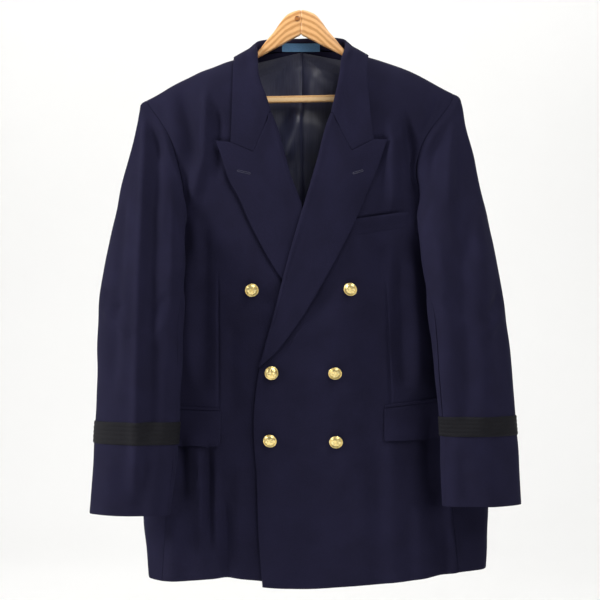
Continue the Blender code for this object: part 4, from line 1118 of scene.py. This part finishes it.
def button_pattern(i, angles):
    """A roped rim and a plain rosette of petals, struck in the metal."""
    row = BUTTON_OUTLINE[i]
    turns = ROPE_TURNS if row["radius"] > ROPE_RADIUS else PETALS
    return row["struck"] * np.cos(turns * angles + PATTERN_SLANT * row["radius"])


def button(row, fronts, brass):
    """A domed button on its shank, tilted until its rim touches the cloth."""
    start = (row["across"] + CENTRE, RAY_START, -row["down"])
    place, normal, _, _ = fronts.ray_cast(start, BACKWARD, RAY_REACH)
    normal = np.array(normal) * -np.sign(normal[1])
    tilt = np.sin(np.radians([row["tilt_across"], 0, -row["tilt_down"]]))
    outline = [(one["radius"], one["height"]) for one in BUTTON_OUTLINE]
    name = f"button_{row['number']}"
    lift = max(0.1, BUTTON_RADIUS * np.linalg.norm(tilt) - RIM_HEIGHT)
    spot, axis = np.array(place) + lift * normal - SHANK * tilt, normal + tilt
    made = turned(name + "_gilt", outline, BUTTON_SIDES, spot, axis, brass, button_pattern)
    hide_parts(name)


BUTTONHOLES = table(
    "side across down end_across end_down",
    ("right", -91.6, 228.4, -73.1, 232.8),
    ("left", 74.8, 232.8, 89.3, 228.4),
)
# Half the width of the ring of thread, the thread's radius, the length of a stitch and how thick the
# thread still is between two.
BUTTONHOLE_HALF, THREAD, STITCH, THREAD_NARROW = 1.1, 0.55, 0.9, 0.82
THREAD_STEP, THREAD_SIDES = 0.3, 8


def buttonhole(row, lapel_points, thread):
    """The thread that binds a buttonhole: a long ring of close stitches laid on the lapel."""
    tree = surface([lapel_points])
    start, end = np.array([row["across"], row["down"]]), np.array([row["end_across"], row["end_down"]])
    length = np.linalg.norm(end - start)
    run = (end - start) / length
    aside = np.array([-run[1], run[0]])
    straight = length - 2 * BUTTONHOLE_HALF
    half_way = straight + math.pi * BUTTONHOLE_HALF
    place = np.linspace(0, 2 * half_way, round(2 * half_way / THREAD_STEP), endpoint=False)
    sign = np.where(place < half_way, 1, -1)
    here = place % half_way
    turn = np.maximum(0, here - straight) / BUTTONHOLE_HALF
    lengthwise = sign * (np.minimum(here, straight) - straight / 2 + BUTTONHOLE_HALF * np.sin(turn))
    sideways = sign * BUTTONHOLE_HALF * np.cos(turn)
    flat = (start + end) / 2 + lengthwise[:, None] * run + sideways[:, None] * aside
    starts = np.stack([flat[:, 0] + CENTRE, np.full(len(flat), RAY_START), -flat[:, 1]], axis=-1)
    line = np.array([tree.ray_cast(one.tolist(), BACKWARD, RAY_REACH)[0] for one in starts])
    steps = np.arange(len(line)) * THREAD_STEP
    radius = THREAD * (THREAD_NARROW + (1 - THREAD_NARROW) * np.abs(np.sin(math.pi * steps / STITCH)))
    ahead = np.roll(line, -1, axis=0) - np.roll(line, 1, axis=0)
    ahead /= np.linalg.norm(ahead, axis=1, keepdims=True)
    out = -np.array(BACKWARD, float)
    beside = np.cross(ahead, out)
    angles = 2 * math.pi * np.arange(THREAD_SIDES)[:, None] / THREAD_SIDES
    spokes = np.cos(angles) * beside[:, None] + np.sin(angles) * out
    points = (line[:, None] + radius[:, None, None] * spokes).reshape(-1, 3)
    index = numbered(len(line), THREAD_SIDES, wrap=True)
    faces = quads(np.concatenate([index, index[:1]]))
    thing("buttonhole_" + row["side"], points, faces, thread)


# The hanger's arm: its upper and lower outline, from the middle joint to the shoulder's end.
ARM = table(
    "across top bottom half_depth",
    (-0.1, -12.0, 21.6, 5.8),
    (0.9, -12.8, 22.8, 6.5),
    (6, -12.6, 25.6, 6.5),
    (12, -10.8, 28.8, 6.5),
    (22.5, -5, 34.3, 6.5),
    (31.5, 6, 39, 6.5),
    (39.5, 17.5, 43.2, 6.2),
    (50, 29.5, 48.8, 5.4),
    (60, 42, 54, 4.8),
    (67, 49, 58, 4.6),
    (72, 53.2, 62, 4.8),
    (80, 55.6, 67, 5.6),
    (97, 61, 74, 6.2),
    (115, 67.3, 81, 6.5),
    (130, 72.4, 87, 6.5),
    (149, 80.05, 95.5, 6.5),
    (171, 89.7, 106, 6.5),
    (182.2, 95.5, 111.5, 6.5),
    (200, 106, 129, 6.5),
)
# How far its corners are rounded, in how many steps, and how much the whole hanger slants.
ARM_ROUND, ROUND_STEPS, HANGER_SLANT = 2.6, 4, 0.02
# The bar: half its width, how far down it is, where it ends and how far its corners are rounded.
BAR_HALF, BAR_DOWN, BAR_END, BAR_ROUND = 5.0, 118.0, 181.9, 1.6
# The peg from the wall to its rounded front end: radius and height.
PEG_OUTLINE = ((0, -36), (4.1, -36), (4.1, 7.4), (3.7, 8.1), (2.9, 8.5), (0, 8.6))
ARM_SPACING, BAR_SECTIONS, PEG_SIDES = 2.5, 61, 48


def rounded_section(top, bottom, half_depth, corner):
    """Points round a bar's section with rounded corners, as out and down."""
    middle_out, middle_down = half_depth - corner, (bottom - top) / 2 - corner
    points = []
    for quarter in range(4):
        for step in range(ROUND_STEPS + 1):
            angle = math.pi / 2 * (quarter + step / ROUND_STEPS)
            out = corner * math.cos(angle) + (middle_out if quarter in (0, 3) else -middle_out)
            down = corner * math.sin(angle) + (middle_down if quarter in (0, 1) else -middle_down)
            points.append((out, (top + bottom) / 2 + down))
    return points


def lofted(name, sections, finish):
    """A wooden bar through sections, each given with how far across it stands, with its grain lengthwise."""
    across = np.array([[place] for place, _ in sections])
    out, down = np.moveaxis(np.array([corners for _, corners in sections]), -1, 0)
    middle = down.mean(axis=1, keepdims=True)
    steps = np.hypot(np.diff(across, axis=0), np.diff(middle, axis=0))
    run = np.concatenate([[[0.0]], np.cumsum(steps, axis=0)])
    places = np.broadcast_arrays(across + CENTRE, out, HANGER_SLANT * across - down)
    marks = np.broadcast_arrays(run, down - middle, out)
    points, grain = (np.stack(parts, axis=-1).reshape(-1, 3) for parts in (places, marks))
    index = numbered(*out.shape, wrap=True)
    faces = [*quads(index).tolist(), index[0, -2::-1].tolist(), index[-1, :-1].tolist()]
    return thing(name, points, faces, finish, grain)


def hanger(wood, painted_lighter_wood, peg_wood):
    """Two arms that meet in the middle, the bar between their ends, and the peg through the right arm."""
    known = np.array([list(row.values()) for row in ARM])
    fine = places_along(known[:, 0], ARM_SPACING)
    curve = curve_through(known[:, None, :], known[:, 0], fine)[:, 0]
    arms = []
    for side, sign in SIDES.items():
        sections = [(sign * across, rounded_section(*section, ARM_ROUND)) for across, *section in curve]
        arm = lofted(f"hanger_arm_{side}_wood", sections, wood)
        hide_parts("hanger_arm_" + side)
        arms.append(arm)
    section = rounded_section(BAR_DOWN - BAR_HALF, BAR_DOWN + BAR_HALF, BAR_HALF, BAR_ROUND)
    bar_places = np.linspace(-BAR_END, BAR_END, BAR_SECTIONS)
    # The bar's wood is the arms' pine painted lighter: painted light for the light that the bar catches.
    bar = lofted("hanger_bar_wood", [(place, section) for place in bar_places], painted_lighter_wood)
    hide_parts("hanger_bar")
    peg = turned("wall_peg_wood", PEG_OUTLINE, PEG_SIDES, np.zeros(3), (0, -1, 0), peg_wood)
    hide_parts("wall_peg")
    return arms


def main():
    """Every piece, from the hanger out."""
    black_braid, brass = ribbed_braid(), gilt_brass()
    wool, satin, thread = navy_wool(), lining_satin(), silk_thread()
    arms = hanger(
        varnished_wood("varnished pine", "#efbb80", "#c98f55"),
        # The bar's copy of the pine is painted lighter, as painted light on the bar.
        varnished_wood("varnished pine, painted lighter", "#ffdaa6", "#e2ad70"),
        varnished_wood("oiled hardwood, brown", "#a86a30", "#7c4a1e"),
    )
    fronts = {}
    for side in SIDES:
        sleeve_rows = RIGHT_SLEEVE_CREASES if side == "right" else LEFT_SLEEVE_CREASES
        body = {
            kind: panel(f"{kind}_{side}", wool, FRONT_CREASES, BACK_CREASES)
            for kind in ("front", "side", "back")
        }
        sleeves = [
            panel(f"{kind}_{side}", wool, sleeve_rows, BACK_SLEEVE_CREASES)
            for kind in ("top_sleeve", "under_sleeve")
        ]
        panel("back_lining_" + side, satin, FRONT_CREASES, BACK_CREASES)
        lapel_points = flat_piece("lapel_" + side, wool)
        for row in BUTTONHOLES:
            if row["side"] == side:
                buttonhole(row, lapel_points, thread)
        fronts[side] = surface([body["front"], body["side"]])
        braid(side, surface(sleeves), black_braid)
    for row in PATCHES:
        patch(row, fronts[side_of(row["node"])], wool)
    for row in BUTTONS:
        button(row, fronts["right" if row["number"] == 1 else "left"], brass)
    flat_piece("collar", wool)
    flat_piece("neck_label", woven_label())


def stage():
    """A pale sweep: a floor well below the coat that curves up to a far wall."""
    floor, wall, bend, half, front, top, steps = -1.3, 5.2, 1.6, 9.0, -9.0, 7.0, 12
    profile = [(front, floor)]
    for i in range(steps + 1):
        angle = math.pi / 2 * i / steps
        profile.append((wall - bend + bend * math.sin(angle), floor + bend - bend * math.cos(angle)))
    profile.append((wall, top))
    points = [(x, y, z) for y, z in profile for x in (-half, half)]
    faces = [(2 * i, 2 * i + 1, 2 * i + 3, 2 * i + 2) for i in range(len(profile) - 1)]
    mesh = bpy.data.meshes.new("sweep")
    mesh.from_pydata(points, [], faces)
    mesh.shade_smooth()
    mesh.materials.append(pale_ground())
    sweep = bpy.data.objects.new("sweep", mesh)
    bpy.context.scene.collection.objects.link(sweep)


def softbox(name, place, target, size, power, colour):
    """A large soft lamp that faces a target."""
    lamp = bpy.data.lights.new(name, "AREA")
    lamp.shape = "RECTANGLE"
    lamp.size, lamp.size_y = size
    lamp.energy = power
    lamp.color = linear(colour)[:3]
    made = bpy.data.objects.new(name, lamp)
    made.location = place
    way = np.array(target, float) - np.array(place, float)
    made.rotation_mode = "QUATERNION"
    made.rotation_quaternion = Vector(way).to_track_quat("-Z", "Y")
    bpy.context.scene.collection.objects.link(made)


# Half the width of the picture in metres, that far from the camera: at the front of the coat.
VIEW_HALF, VIEW_AWAY = 0.435, 2.6


def light_and_camera():
    """Daylight from a window on the left, with the room and a lit wall, and a camera straight on."""
    world = bpy.data.worlds.new("soft daylight")
    bpy.context.scene.world = world
    world.use_nodes = True
    world.node_tree.nodes["Background"].inputs["Color"].default_value = linear("#f6f7fc")
    world.node_tree.nodes["Background"].inputs["Strength"].default_value = 0.13
    softbox("left window", (-3.2, -0.9, 0.9), (0, 0, -0.3), (0.8, 1.4), 135, "#fffdfa")
    softbox("room", (1.7, -2.8, 1.8), (0, 0, -0.3), (2.0, 1.6), 52, "#fffdfa")
    softbox("above", (1.0, -1.3, 2.2), (0, 0, -0.2), (1.6, 1.0), 46, "#fffefc")
    softbox("backdrop", (0, 2.2, 3.8), (0, 5.2, -0.6), (5.0, 1.5), 150, "#ffffff")
    lens = bpy.data.cameras.new("camera")
    lens.angle = 2 * math.atan(VIEW_HALF / VIEW_AWAY)
    lens.clip_end = 100
    eye = bpy.data.objects.new("camera", lens)
    eye.location = (0.004, -2.65, -0.4148)
    eye.rotation_euler = (math.pi / 2, 0, 0)
    bpy.context.scene.collection.objects.link(eye)
    bpy.context.scene.camera = eye
    bpy.context.scene.view_settings.view_transform = "Standard"


main()
stage()
light_and_camera()
